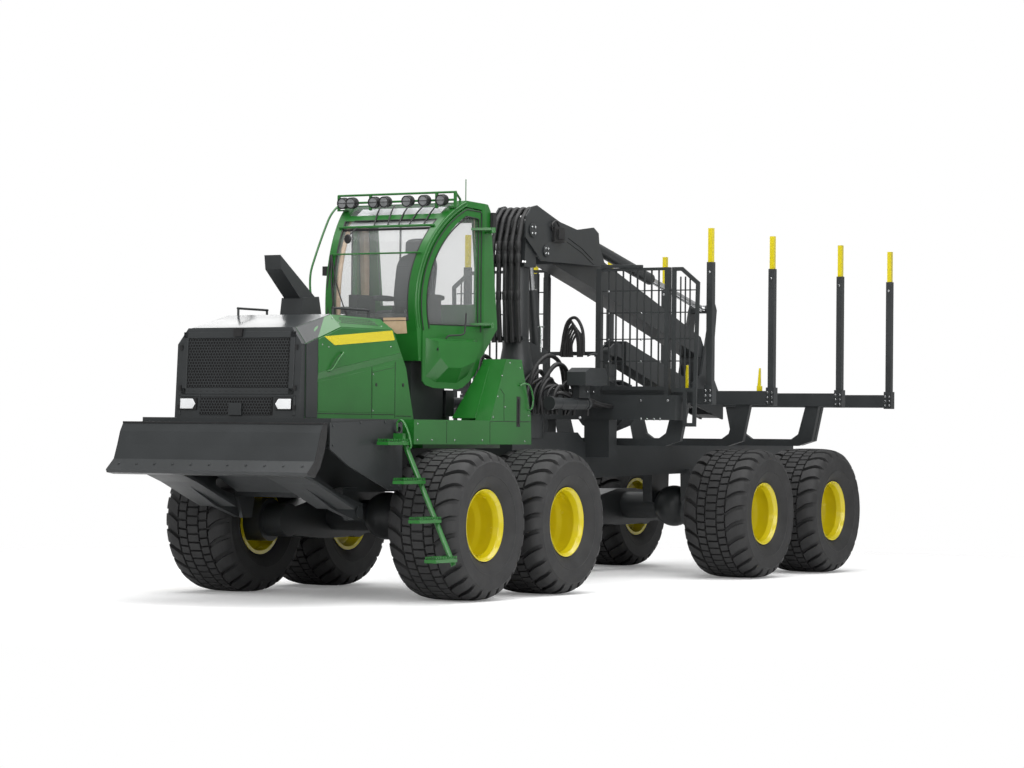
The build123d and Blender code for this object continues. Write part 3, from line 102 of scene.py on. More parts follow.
def turned(profile, centre, axis, segments=32, closed=False):
    """A profile turned about an axis: point = centre + along * axis + radius * (cos t, sin t)
    across it. An open profile is closed by a flat end at both sides."""
    profile = np.asarray(profile, float)
    axis = np.asarray(axis, float) / np.linalg.norm(axis)
    a, b = directions(axis)
    t = round_angles(segments)
    ring = np.cos(t)[:, None] * a + np.sin(t)[:, None] * b
    points = profile[:, 1, None, None] * axis + profile[:, 0, None, None] * ring[None]
    points = points.reshape(-1, 3) + np.asarray(centre, float)
    faces = [grid(len(profile), segments, closed, True)]
    return points, faces if closed else faces + [end_faces(len(profile), segments)]


def tube(path, radius, sides=10):
    """A round tube along a path: each station is a circle across the path's run, and the ends
    are flat."""
    path = np.asarray(path, float)
    a, b = directions(np.gradient(path, axis=0))
    t = round_angles(sides)
    ring = np.cos(t)[None, :, None] * a[:, None] + np.sin(t)[None, :, None] * b[:, None]
    reach = np.broadcast_to(radius, len(path))[:, None, None]
    points = (path[:, None] + reach * ring).reshape(-1, 3)
    return points, [grid(len(path), sides, False, True), end_faces(len(path), sides)]


def seam(start, end, y, radius, stations=3):
    """A thin straight tube between two points (x, z) on a flat side at y."""
    line = np.linspace((start[0], y, start[1]), (end[0], y, end[1]), stations)
    return tube(line, radius, 6)


def curve(knots, steps=8):
    """A smooth line through the knots: Catmull-Rom pieces, steps points in each."""
    k = np.asarray(knots, float)
    k = np.concatenate([2 * k[:1] - k[1:2], k, 2 * k[-1:] - k[-2:-1]])
    t = np.linspace(0, 1, steps, endpoint=False)[None, :, None]
    p0, p1, p2, p3 = (k[i:len(k) - 3 + i, None] for i in range(4))
    line = 0.5 * (2 * p1 + (p2 - p0) * t + (2 * p0 - 5 * p1 + 4 * p2 - p3) * t ** 2
        + (3 * p1 - p0 - 3 * p2 + p3) * t ** 3)
    return np.concatenate([line.reshape(-1, 3), k[-2:-1]])


def plate(corners, move):
    """A flat plate: its corners, and the same corners moved by the vector move."""
    p = np.asarray(corners, float)
    count = len(p)
    ends = np.stack([np.arange(count)[::-1], count + np.arange(count)])
    return np.concatenate([p, p + np.asarray(move, float)]), [grid(2, count, False, True), ends]


def prism(outline, axis, low, high):
    """A prism: a flat outline in the two other axes, from low to high along one axis."""
    o = np.asarray(outline, float)
    corners = np.insert(o, axis, low, axis=1)
    return plate(corners, (high - low) * np.eye(3)[axis])


def boxes(low, high):
    """Blocks from their lowest to their highest corners, one per row."""
    low, high = (np.atleast_2d(np.asarray(corner, float)) for corner in (low, high))
    pick = np.array([[0, 0, 0], [1, 0, 0], [1, 1, 0], [0, 1, 0],
        [0, 0, 1], [1, 0, 1], [1, 1, 1], [0, 1, 1]])
    sides = np.array([[0, 3, 2, 1], [4, 5, 6, 7], [0, 1, 5, 4],
        [1, 2, 6, 5], [2, 3, 7, 6], [3, 0, 4, 7]])
    points = low[:, None] + pick[None] * (high - low)[:, None]
    faces = sides[None] + 8 * np.arange(len(low))[:, None, None]
    return points.reshape(-1, 3), [faces.reshape(-1, 4)]


def repeated(piece, moves):
    """The piece once per row of moves."""
    points, faces = piece
    moves = np.atleast_2d(np.asarray(moves, float))
    offsets = len(points) * np.arange(len(moves))[:, None, None]
    copies = [(f[None] + offsets).reshape(-1, f.shape[1]) for f in faces]
    return (points[None] + moves[:, None]).reshape(-1, 3), copies


def bolts(places, normal, size=15.0, height=11.0):
    """Hexagon bolt heads on washers, one per place, standing along the normal."""
    washer_radius, top_radius = size * 1.35, size * 0.82
    washer = turned([(washer_radius, -1), (washer_radius, 3)], ORIGIN, normal, 16)
    head = turned([(size, 2), (size, height - 2), (top_radius, height)], ORIGIN, normal, 6)
    return [repeated(washer, places), repeated(head, places)]


def flipped(piece):
    """The piece mirrored to the machine's other side."""
    points, faces = piece
    return points * np.array([1.0, -1.0, 1.0]), [f[:, ::-1] for f in faces]


def both(pieces):
    """The pieces, and their mirror images."""
    return list(pieces) + [flipped(p) for p in pieces]


def add(name, pieces, finish, body, bevel=0.0, soft=38.0):
    """One object from pieces in millimetres, with its finish, on its body. Edges that turn by
    more than soft degrees stay sharp, and bevel is the width of the rounded ones."""
    points = np.concatenate([p for p, _ in pieces]) / MM
    loops, starts, at, base = [], [], 0, 0
    for p, faces in pieces:
        for f in faces:
            loops.append((f + base).ravel())
            starts.append(at + f.shape[1] * np.arange(len(f)))
            at += f.size
        base += len(p)
    mesh = bpy.data.meshes.new(name)
    mesh.vertices.add(len(points))
    mesh.vertices.foreach_set("co", points.astype(np.float32).ravel())
    mesh.loops.add(at)
    mesh.loops.foreach_set("vertex_index", np.concatenate(loops).astype(np.int32))
    mesh.polygons.add(sum(len(s) for s in starts))
    mesh.polygons.foreach_set("loop_start", np.concatenate(starts).astype(np.int32))
    mesh.update(calc_edges=True)
    mesh.validate()
    work = bmesh.new()
    work.from_mesh(mesh)
    bmesh.ops.recalc_face_normals(work, faces=work.faces)
    work.to_mesh(mesh)
    work.free()
    mesh.shade_smooth()
    mesh.set_sharp_from_angle(angle=math.radians(soft))
    obj = bpy.data.objects.new(name, mesh)
    bpy.context.scene.collection.objects.link(obj)
    mesh.materials.append(finishes[finish])
    if bevel:
        edge = obj.modifiers.new("edges", "BEVEL")
        edge.width = bevel / MM
        edge.segments = 2
        edge.limit_method = "ANGLE"
        edge.angle_limit = math.radians(40)
        edge.harden_normals = True
    if body:
        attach(obj, body)
    print(name, "on", body, "faces:", len(mesh.polygons))
    return obj


print("faces of one bolt:", sum(len(f) for _, faces in bolts(ORIGIN, Z) for f in faces))


# %% [markdown]
# ## Finishes
# Green, charcoal and yellow enamel, black plastic, rubber, glass, chrome, iron, tan trim and
# cloth. Each takes its small unevenness from noise in object coordinates: a slow drift of
# colour, a finer drift of gloss, and a bump for orange peel, moulding grain or weave. Sizes
# are in metres.

# %% Finishes
finishes = {}
drift_scale, grain_scale = 0.25, 16  # noise of colour and of bump, as shares of the gloss noise
ramp_places = (0.35, 0.65)
bump_strength, coat_roughness, window_alpha = 0.5, 0.12, 0.14

# name, colour, second colour, roughness low and high, metallic, coat, noise scale, bump depth
finish_rows = (
    ("green_paint", (0.009, 0.11, 0.012), (0.012, 0.132, 0.016), 0.26, 0.36, 0, 0.3, 9, 0.0003),
    ("dark_paint", (0.02, 0.0225, 0.0235), (0.026, 0.029, 0.0305), 0.36, 0.5, 0, 0.05, 7, 0.0005),
    ("roof_enamel", (0.03, 0.034, 0.036), (0.04, 0.045, 0.047), 0.26, 0.34, 0, 0.45, 6, 0.0002),
    ("yellow_paint", (0.6, 0.5, 0.006), (0.64, 0.53, 0.009), 0.22, 0.3, 0, 0.5, 8, 0.00002),
    ("tyre_rubber", (0.0125, 0.0125, 0.013), (0.02, 0.02, 0.0205), 0.6, 0.78, 0, 0, 22, 0.001),
    ("rod_chrome", (0.62, 0.63, 0.64), (0.7, 0.71, 0.72), 0.1, 0.2, 1, 0, 30, 0.0001),
    ("trim_tan", (0.56, 0.39, 0.25), (0.62, 0.45, 0.3), 0.55, 0.7, 0, 0, 60, 0.0006),
    ("black_plastic", (0.006, 0.006, 0.0065), (0.011, 0.011, 0.0115), 0.38, 0.55, 0, 0, 90, 0.0005),
    ("seat_fabric", (0.016, 0.017, 0.02), (0.04, 0.042, 0.047), 0.8, 0.92, 0, 0, 260, 0.0012),
    ("hose_rubber", (0.006, 0.006, 0.0065), (0.013, 0.013, 0.0135), 0.42, 0.6, 0, 0, 70, 0.0008),
    ("engine_iron", (0.03, 0.03, 0.03), (0.05, 0.049, 0.047), 0.55, 0.75, 0.6, 0, 20, 0.0015),
    ("lens_grey", (0.16, 0.165, 0.17), (0.24, 0.245, 0.25), 0.12, 0.22, 0, 0.4, 60, 0.0006),
    ("mesh_shade", (0.0015, 0.0015, 0.0016), (0.003, 0.003, 0.0031), 0.85, 0.95, 0, 0, 40, 0.0004),
    ("blind_white", (0.66, 0.67, 0.68), (0.74, 0.75, 0.76), 0.45, 0.6, 0, 0, 40, 0.0004),
    ("window_glass", (0.4, 0.42, 0.42), (0.46, 0.48, 0.48), 0.03, 0.06, 0, 0, 3, 0.0001),
    ("lamp_glass", (0.8, 0.81, 0.82), (0.88, 0.89, 0.9), 0.1, 0.18, 0, 0.4, 20, 0.0006),
)


def set_inputs(node, **values):
    """Default values of a node's inputs. An underscore in a name stands for a space."""
    for name, value in values.items():
        node.inputs[name.replace("_", " ")].default_value = value


def join(source, output, target, socket):
    """A link from one node's output to another one's input, in the same tree."""
    source.id_data.links.new(source.outputs[output], target.inputs[socket])


def noise_node(tree, scale, detail):
    """Noise in object coordinates."""
    place = tree.nodes.new("ShaderNodeTexCoord")
    node = tree.nodes.new("ShaderNodeTexNoise")
    set_inputs(node, Scale=scale, Detail=detail)
    join(place, "Object", node, "Vector")
    return node


def make_finish(name, first, second, smooth, rough, metallic, coat, scale, depth):
    """A shader whose colour, gloss and bump drift with noise."""
    material = bpy.data.materials.new(name)
    material.use_nodes = True
    tree = material.node_tree
    shader = tree.nodes["Principled BSDF"]
    drift = noise_node(tree, scale * drift_scale, 3.0)
    ramp = tree.nodes.new("ShaderNodeValToRGB")
    for stop, place, colour in zip(ramp.color_ramp.elements, ramp_places, (first, second)):
        stop.position, stop.color = place, (*colour, 1)
    join(drift, "Fac", ramp, "Fac")
    join(ramp, "Color", shader, "Base Color")
    gloss = noise_node(tree, scale, 4.0)
    spread = tree.nodes.new("ShaderNodeMapRange")
    set_inputs(spread, To_Min=smooth, To_Max=rough)
    join(gloss, "Fac", spread, "Value")
    join(spread, "Result", shader, "Roughness")
    grain = noise_node(tree, scale * grain_scale, 2.0)
    bump = tree.nodes.new("ShaderNodeBump")
    set_inputs(bump, Strength=bump_strength, Distance=depth)
    join(grain, "Fac", bump, "Height")
    join(bump, "Normal", shader, "Normal")
    set_inputs(shader, Metallic=metallic, Coat_Weight=coat, Coat_Roughness=coat_roughness)
    finishes[name] = material
    return shader


shaders = {row[0]: make_finish(*row) for row in finish_rows}
set_inputs(shaders["window_glass"], Alpha=window_alpha)
print("finishes:", len(finishes))

# %% [markdown]
# ## Finishes of the CAD nodes
# The booms, frames, bunk and blade are charcoal enamel. Hood, cab, door, boxes, ladder and
# roof bar are green. Rims and stake tips are yellow. The axles share the charcoal.

# %% Finishes of the CAD nodes
node_finish = {
    "green_paint": ("body_panels", "hood_shell", "hood_roof", "cab_shell", "cab_door", "ladder",
                    "roof_bar"),
    "dark_paint": (
        "front_chassis", "front_axle", "rear_axle", "blade", "blade_barrels", "grille",
        "hood_fittings", "cab_stand", "rear_frame", "valve_box", "bolsters", "headgate",
        "crane_pillar", "lift_barrel", "main_boom", "outer_boom", "extension", "grapple_link",
        "grapple_head", "claw_left", "claw_right", "stick_barrel", "steer_barrel_left",
        "steer_barrel_right",
    ),
    "yellow_paint": ("stake_tips",),
    "rod_chrome": ("blade_rods", "lift_rod", "stick_rod", "steer_rod_left", "steer_rod_right"),
    "window_glass": ("cab_glass", "door_glass"),
    "black_plastic": ("cab_interior", "lamps"),
    "hose_rubber": ("crane_hoses",),
    "engine_iron": ("engine_block",),
}
for finish, names in node_finish.items():
    for name in names:
        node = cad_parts[name]
        node.data.materials.clear()
        node.data.materials.append(finishes[finish])
print("nodes with a finish:", sum(len(n) for n in node_finish.values()))

# %% [markdown]
# ## Wheels
# A forestry flotation tyre has staggered bricks in the middle and long curved lugs at the
# shoulders. The surface is a closed section turned about the hub. Its columns lie along the
# edges of the bricks and lugs, so the walls are sharp with few faces. The rim is a deep
# turned dish with a ring of studs.

# %% Wheels
wheel_rows = (("front_1", 3575.0), ("front_2", 2048.0), ("rear_1", -2285.0), ("rear_2", -4051.0))
wheel_y, wheel_z, pitches = 1256.0, 700.0, 26

# Half section: distance from the middle plane, groove radius, top radius, pattern
# pattern: 0 plain, 1 shoulder lug, 2 side bricks, 3 middle bricks
section_rows = np.array([
    (279, 316, 316, 0), (285, 336, 336, 0), (304, 352, 352, 0), (328, 378, 378, 0),
    (353, 418, 418, 0), (365, 450, 450, 0), (369, 453, 453, 0), (369, 459, 459, 0),
    (367, 463, 463, 0), (373, 515, 515, 0), (370.5, 570, 570, 0), (372.5, 577, 577, 0),
    (372.5, 584, 584, 0), (367, 591, 591, 0), (361, 598, 603, 1), (349, 610, 636, 1),
    (325, 622, 663, 1), (284, 643, 681, 1), (235, 653, 690.5, 1), (190, 659, 695.5, 1),
    (177, 661, 696.5, 1), (172, 664, 664, 0), (165, 664, 664, 0), (159, 668, 697, 2),
    (76, 672, 699, 2), (71, 672, 672, 0), (63, 672, 672, 0), (58, 673, 699.3, 3),
    (0.5, 674, 700, 3),
])
# Columns in one pitch: place on a shoulder lug and on the bricks, and which are raised
shoulder_at = np.array([0.00, 0.02, 0.17, 0.31, 0.45, 0.59, 0.71, 0.74])
brick_at = np.array([0.00, 0.03, 0.41, 0.44, 0.50, 0.53, 0.91, 0.94])
shoulder_up = np.array([0, 1, 1, 1, 1, 1, 1, 0])
brick_up = np.array([0, 1, 1, 0, 0, 1, 1, 0])
bricks_to, middle_to, stagger = 169, 67, 0.25  # half widths in mm, and a share of a pitch
sweep_from, sweep_width, sweep_angle, sweep_power = 150.0, 215.0, 0.16, 1.8


def tyre_surface(x, side):
    """Point = hub + radius * (cos f, sin f) in the XZ plane, + distance in Y. Angle f adds a
    sweep that grows over the shoulder lugs, and the radius steps up on raised columns."""
    section = np.concatenate([section_rows, section_rows[::-1] * np.array([-1, 1, 1, 1])])
    away, kind = np.abs(section[:, 0]), section[:, 3]
    at = np.where((away > bricks_to)[:, None], shoulder_at, brick_at)
    at = at + np.where(away < middle_to, stagger, 0.0)[:, None]
    up = np.where((kind > 1)[:, None], brick_up, 0)
    up = np.where((kind == 1)[:, None], shoulder_up, up)
    other = (section[:, 0] < 0) & (away > middle_to)
    at[other] = np.roll(at[other], -4, axis=1) + np.array([-0.5] * 4 + [0.5] * 4)
    up[other] = np.roll(up[other], -4, axis=1)
    share = np.clip((away - sweep_from) / sweep_width, 0, 1)
    sweep = sweep_angle * (1 - (1 - share) ** sweep_power)
    places = (np.arange(pitches)[None, :, None] + at[:, None, :]).reshape(len(section), -1)
    f = places * 2 * np.pi / pitches + sweep[:, None]
    lift = np.tile(up, (1, pitches))
    radius = section[:, 1:2] + lift * (section[:, 2:3] - section[:, 1:2])
    y = side * (wheel_y + section[:, :1])
    points = xyz(x + radius * np.cos(f), y, wheel_z + radius * np.sin(f))
    return points.reshape(-1, 3), [grid(len(section), f.shape[1], True, True)]


# Rim and hub sections: radius, distance outboard of the middle plane
rim_section = [
    (334, 301), (334, 293), (326, 288), (316, 285), (312, 277), (312, -277), (316, -285),
    (326, -288), (334, -293), (334, -301), (302, -301), (298, -296), (298, -166), (292, -161),
    (120, -161), (120, -140), (232, -140), (246, -133), (257, -116), (266, -70), (268, -58),
    (268, 24), (272, 36), (292, 72), (296, 84), (296, 196), (291, 204), (291, 217), (297, 226),
    (297, 262), (305, 276), (318, 288), (326, 301),
]
hub_section = [(168, -142), (168, -112), (160, -102), (118, -100), (112, -84), (104, -78),
    (30, -76)]
# Rings of studs: angles, radius, distance outboard, size, height
stud_rows = ((np.arange(10) * 2 * np.pi / 10, 203, -141, 13, 16),
    (np.arange(8) * 2 * np.pi / 8 + 0.3, 140, -101, 8, 8))
for name, x in wheel_rows:
    for side_name, side in (("left", 1), ("right", -1)):
        wheel = name + "_" + side_name
        tyre = add("tread_" + wheel, [tyre_surface(x, side)], "tyre_rubber",
            "wheel_" + wheel, soft=30)
        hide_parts("tyre_" + name + "_" + side_name)
        hub, out = np.array([x, side * wheel_y, wheel_z]), (0, side, 0)
        pieces = [turned(rim_section, hub, out, 96, closed=True),
            turned(hub_section, hub, out, 64)]
        for angles, radius, along, size, height in stud_rows:
            ring = xyz(radius * np.cos(angles), side * along, radius * np.sin(angles))
            pieces += bolts(hub + ring, out, size, height)
        rim = add("dish_" + wheel, pieces, "yellow_paint", "wheel_" + wheel, soft=50)
        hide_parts("rim_" + name + "_" + side_name)

# %% [markdown]
# ## Hood skin
# The hood is one steel shell with an upper cover that stands a little proud, a bare yellow band
# along its shoulder, a dark roof and nose, and hinged service doors lower down. The covers are
# thin prisms on the shell's flat sides. The bevel between roof and side is a ruled surface,
# so pieces on it take their height from a share between the two edges.

# %% Hood skin
hood_x = [3435, 4680, 5240]
# The planes of the flat side and of the cover on it, and where the bevel meets the roof
hood_y, cover_y, roof_y = 680, 692, 570


def shoulder_z(x):
    """Height of the hood's shoulder at x."""
    return np.interp(x, hood_x, [2500, 2500, 2330])


def hood_roof_z(x):
    """Height of the hood's roof at x."""
    return np.interp(x, hood_x, [2590, 2612, 2476])


def on_bevel(outline, rise=0.0):
    """Corners (x, y) lifted to the bevel: z = roof * (1 - t) + shoulder * t + rise, with t from
    0 at roof_y to 1 at hood_y."""
    o = np.asarray(outline, float)
    t = (o[:, 1] - roof_y) / (hood_y - roof_y)
    z = hood_roof_z(o[:, 0]) * (1 - t) + shoulder_z(o[:, 0]) * t + rise
    return np.column_stack([o, z])


cover = prism([(5050, 2078), (5050, 2378), (4680, 2490), (3815, 2490), (3682, 2289)], 1,
    hood_y, cover_y)
facet = plate([(5050, cover_y, 2078), (3682, cover_y, 2289), (3646, 681, 2238),
    (5050, 681, 2012)], (0, -8, 0))
add("hood_covers", both([cover, facet]), "green_paint", FRONT, bevel=4)

band = prism([(4962, 2404), (3838, 2492), (3792, 2404), (4791, 2329)], 1, cover_y, cover_y + 1.5)
add("hood_bands", both([band]), "yellow_paint", FRONT)

roof_outline = [(x, hood_roof_z(x) + rise) for x, rise in (
    (3854, 0.5), (4680, 0.5), (5238, 0.5), (5238, 4), (4680, 4), (3854, 4))]
roof_skin = [prism(roof_outline, 1, -568, 568)]
nose = both([
    plate(on_bevel([(4790, 571), (5045, 679), (5238, 679), (5238, 571)], 0.3), (0, 2.4, 2.4)),
    prism([(5060, 1672), (5060, 2382), (5238, 2328), (5238, 1672)], 1, 680, 693),
])
add("roof_skin", roof_skin, "roof_enamel", FRONT, bevel=1.5)
add("nose_cap", nose, "dark_paint", FRONT, bevel=1.5)

seam_rows = (
    ((4160, 1680), (4160, 2150)), ((3762, 1680), (3762, 2205)), ((4160, 2095), (3780, 2150)),
    ((4175, 1712), (5045, 1712)), ((3480, 1700), (3750, 1700)), ((3775, 1712), (4145, 1712)),
)
seams = [seam(a, b, hood_y + 0.4, 3.0) for a, b in seam_rows]
latches = [turned([(17, -1), (17, 4), (12, 6)], (x, hood_y, z), Y, 20)
    for x, z in ((4085, 1985), (3625, 1990))]
slots = [prism([(3790, 2236), (3790, 2246), (4120, 2198), (4120, 2188)], 1, hood_y - 1,
    hood_y + 1.5)]
louvres = [
    plate(on_bevel([(x, y), (x + 30, y), (x + 30, y + 9), (x, y + 9)], 0.2), (0, 1, 1))
    for y in (588, 604, 620, 636) for x in range(4060 - (y - 588), 4560 + (y - 588), 48)
]
add("hood_seams", both(seams + latches + slots + louvres), "black_plastic", FRONT)

door_panels = [prism(o, 1, hood_y, hood_y + 2.5) for o in (
    [(4176, 1728), (4176, 2120), (5040, 1995), (5040, 1728)],
    [(3778, 1728), (3778, 2180), (4144, 2125), (4144, 1728)],
)]
add("hood_doors", both(door_panels), "green_paint", FRONT, bevel=1.2)

handle = curve([(4900, 688, 2092), (4860, 716, 2112), (4760, 722, 2210), (4690, 716, 2262),
    (4676, 690, 2262)])
add("hood_handles", both([tube(handle, 9)]), "green_paint", FRONT)
hood_bolts = bolts([(4990, 692, 2330), (4890, 692, 2310), (3860, 692, 2340), (4140, 682, 2080),
    (4140, 682, 1745)], Y, 5, 5)
hood_bolts += bolts(on_bevel([(4700, 600), (4660, 640), (4020, 610), (3960, 650)]),
    (0, 0.7, 0.7), 5, 5)
add("hood_bolts", both(hood_bolts), "rod_chrome", FRONT)

# %% [markdown]
# ## Front mesh
# The opening in the nose is covered by a pressed sheet with hexagon holes. Each cell is a ring
# of six quads between a hexagon hole and its cell border, with the hole's wall behind it, so
# the sheet has thickness. A black sheet behind it stands for the unlit room of the radiator.

# %% Front mesh
nose_foot_x, nose_foot_z, nose_lean, nose_height = 5340.0, 1668.0, 50.0, 810.0


def hexagon_sheet(y0, y1, z0, z1, pitch, web, thickness):
    """Hexagon cells on staggered rows: corner = cell centre + radius * (cos, sin) of
    multiples of 60 degrees."""
    radius = pitch / math.sqrt(3)
    rows = int((z1 - z0) / (1.5 * radius))
    columns = int((y1 - y0) / pitch)
    j, i = np.meshgrid(np.arange(rows), np.arange(columns), indexing="ij")
    cy = y0 + (i + 0.5 + 0.5 * (j % 2)) * pitch - 0.25 * pitch
    cz = z0 + (j + 0.66) * 1.5 * radius
    centre = np.stack([cy.ravel(), cz.ravel()], -1)
    t = np.pi / 6 + np.arange(6) * np.pi / 3
    ring = np.stack([np.cos(t), np.sin(t)], -1)
    outer = centre[:, None] + radius * ring
    inner = centre[:, None] + (radius - web) * ring
    flat = np.concatenate([outer, inner, inner, outer], 1)
    x = np.concatenate([np.zeros(12), np.full(12, -thickness)])
    points = np.concatenate([np.broadcast_to(x[None, :, None], (len(flat), 24, 1)), flat], -1)
    faces = grid(4, 6, False, True)[None] + 24 * np.arange(len(flat))[:, None, None]
    return points.reshape(-1, 3), [faces.reshape(-1, 4)]


def nose_x(z):
    """The nose's front face at height z: it leans back nose_lean over nose_height."""
    return nose_foot_x - nose_lean * (z - nose_foot_z) / nose_height


def on_grille(piece, forward=0.0):
    """The piece moved to the nose's leaning face, and forward of it."""
    x, y, z = piece[0].T
    return xyz(x + nose_x(z) + forward, y, z), piece[1]


upper_mesh = on_grille(hexagon_sheet(-565, 565, 1935, 2385, 30.0, 4.6, 4.0), 1.0)
lower_mesh = on_grille(hexagon_sheet(-400, 400, 1690, 1860, 30.0, 4.6, 4.0), 6.0)
add("front_mesh", [upper_mesh, lower_mesh], "dark_paint", FRONT, soft=20)

backing = [on_grille(boxes((-6, -562, 1937), (-4, 562, 2383))),
    on_grille(boxes((0.3, -400, 1690), (1.3, 400, 1856)))]
add("mesh_backing", backing, "mesh_shade", FRONT)

nose_bars = [on_grille(boxes((x0, y0, z0), (x1, y1, z1))) for x0, x1, y0, y1, z0, z1 in (
    (-6, 9, -612, 612, 2385, 2440), (-6, 9, -612, 612, 1880, 1935),
    (-6, 9, -612, -560, 1880, 2440), (-6, 9, 560, 612, 1880, 2440),
    (-2, 8, -640, -400, 1856, 1872), (-2, 8, 400, 640, 1856, 1872),
    (-2, 8, -640, -616, 1690, 1870), (-2, 8, 616, 640, 1690, 1870),
    (9, 26, -70, 70, 1690, 1800))]
add("nose_bars", nose_bars, "dark_paint", FRONT, bevel=3)

dash_y = np.arange(-540, 541, 72)
dashes = on_grille(boxes(xyz(9, dash_y - 14, 1903), xyz(11, dash_y + 14, 1909)))
hinge_z = np.array([1760.0, 1935.0, 2300.0])
hinge_blocks = both([boxes(xyz(nose_x(hinge_z) - 4, 616, hinge_z - 22),
    xyz(nose_x(hinge_z) + 16, 644, hinge_z + 22))])
catch = on_grille(boxes((8, -46, 2398), (34, 46, 2472)))
add("nose_catch", [dashes] + hinge_blocks + [catch], "black_plastic", FRONT, bevel=1)

# %% [markdown]
# ## Blade and front box
# The blade is one bent plate. Its ends carry thin side plates and its top a dark wear strip.
# The bolts of the cutting edge sit in a row, and a tow eye sits on each side of the box.

# %% Blade and front box
blade_end = [
    (5552, 1621), (5600, 1540), (5640, 1420), (5690, 1290), (5803, 1193), (5790, 1165),
    (5690, 1150), (5610, 1230), (5540, 1380), (5510, 1500), (5500, 1621),
]
add("blade_ends", both([prism(blade_end, 1, 1091.2, 1099)]), "black_plastic", "blade", bevel=2)
add("blade_top", [boxes((5496, -1099, 1612), (5562, 1099, 1628))], "black_plastic",
    "blade", bevel=2)
edge_places = xyz(5740, np.arange(-1000, 1001, 200), 1247)
add("blade_bolts", bolts(edge_places, (0.65, 0, 0.76), 11, 8), "dark_paint", "blade")
body_y = 1050  # plane of the flat sides of front box and green body
tow_eye = turned([(58, 0), (58, 22), (50, 26), (26, 26), (24, 0)], (4300, body_y, 1575),
    Y, 32, closed=True)
box_places = [(x, body_y, z) for x, z in (
    (4240, 1640), (4500, 1640), (4900, 1632), (5340, 1600), (5340, 1430), (4260, 1060),
    (4400, 1060))]
add("box_fittings", both([tow_eye] + bolts(box_places, Y, 11, 8)), "dark_paint", FRONT)

# %% [markdown]
# ## Lamps
# Two white head lamps with a pointed inner end sit low in the nose. Under the roof bar hang
# seven round work lamps. Each is a dark housing with a ribbed grey lens and a bar across it.

# %% Lamps
head_corners = np.array([(438, 1792), (470, 1748), (606, 1748), (606, 1838), (470, 1838)])
head_x = nose_x(head_corners[:, 1]) + 20.6
head_lens = plate(np.column_stack([head_x, head_corners]), (4, 0, 0))
add("head_lenses", both([head_lens]), "lamp_glass", FRONT, bevel=2)

tilt = np.array([1, 0, -0.1]) / math.hypot(1, 0.1)
lamp_middle, lamp_reach = np.array([2686.3, 0, 3788.0]), 74.3
lamp_y = np.array([-600, -500, -240, -113, 146, 335, 533])
faces_at = lamp_middle + lamp_reach * tilt + xyz(0, lamp_y, 0)
lens = turned([(44, 0), (44, 2), (40, 4), (37, 3), (33, 5), (30, 4), (26, 6), (22, 5), (18, 7),
    (8, 7)], ORIGIN, tilt, 36)
ring = turned([(53, -16), (55, -6), (55, 6), (47, 8), (45, 1), (45, -16)], ORIGIN, tilt, 36,
    closed=True)
fin = turned([(53, 0), (56, 2), (56, 8), (53, 10)], ORIGIN, tilt, 36, closed=True)
rims = [repeated(ring, faces_at), repeated(boxes((4, -45, -3), (10, 45, 3)), faces_at)]
rims += [repeated(fin, faces_at - along * tilt) for along in (62, 48, 34)]
add("work_lenses", [repeated(lens, faces_at)], "lens_grey", FRONT, soft=60)
add("work_rims", rims, "black_plastic", FRONT, soft=50)

# %% [markdown]
# ## Cab
# The cab's sides taper forwards and its screen is one arc from roof to foot. Both are written
# again here as functions, so that seals, beads and trim follow them at any inset. Rubber
# seals are tubes along those lines, and the tan lining is a thicker tube inside the glass.

# %% Cab lines
screen_knots = np.array([(2528, 3787), (2900, 3500), (3131, 2513)], float)
screen_centre = np.linalg.solve(2 * (screen_knots[1:] - screen_knots[0]),
    (screen_knots[1:] ** 2 - screen_knots[0] ** 2).sum(1))
screen_radius = math.dist(screen_knots[0], screen_centre)
half_width, taper_from, taper = 750.0, 2290.0, 0.278
slant = 1.038  # length of the tapering side per unit of x


def side_y(x, inset=0.0):
    """Half width of the cab at x: half_width - slant * inset, less taper * (x - taper_from)
    in front of taper_from."""
    x = np.asarray(x, float)
    return half_width - slant * inset - taper * np.maximum(x - taper_from, 0)


def screen_arc(low, high, inset, count=24):
    """Points on the screen's circle between two heights: (x, z) = centre + (radius - inset) *
    (cos t, sin t)."""
    radius = screen_radius - inset
    start, end = (math.asin((z - screen_centre[1]) / radius) for z in (low, high))
    t = np.linspace(start, end, count)
    return screen_centre + radius * np.column_stack([np.cos(t), np.sin(t)])


def on_side(line, side, inset, out):
    """Points (x, z) put on the cab's side: y = side * (half width at x + out)."""
    return np.column_stack([line[:, 0], side * (side_y(line[:, 0], inset) + out), line[:, 1]])


def side_loop(inset, low):
    """A closed line (x, z) round the side's opening: low edge, hinge post, roof, screen arc and
    nose."""
    rear, arc = 2296 + 0.5 * inset, screen_arc(2540, 3781 - inset, inset)[::-1]
    top = 3768 - inset
    foot = np.array([[3105 - inset + (low - 2230) * 0.085, low]])
    post = np.column_stack([np.full(8, rear), np.linspace(low, top - 14, 8)])
    return np.concatenate([post, [[rear + 14, top]], arc, foot, post[:1]])


print("screen radius:", round(float(screen_radius), 1))
print("half width at the screen's foot:", float(side_y(3131)))

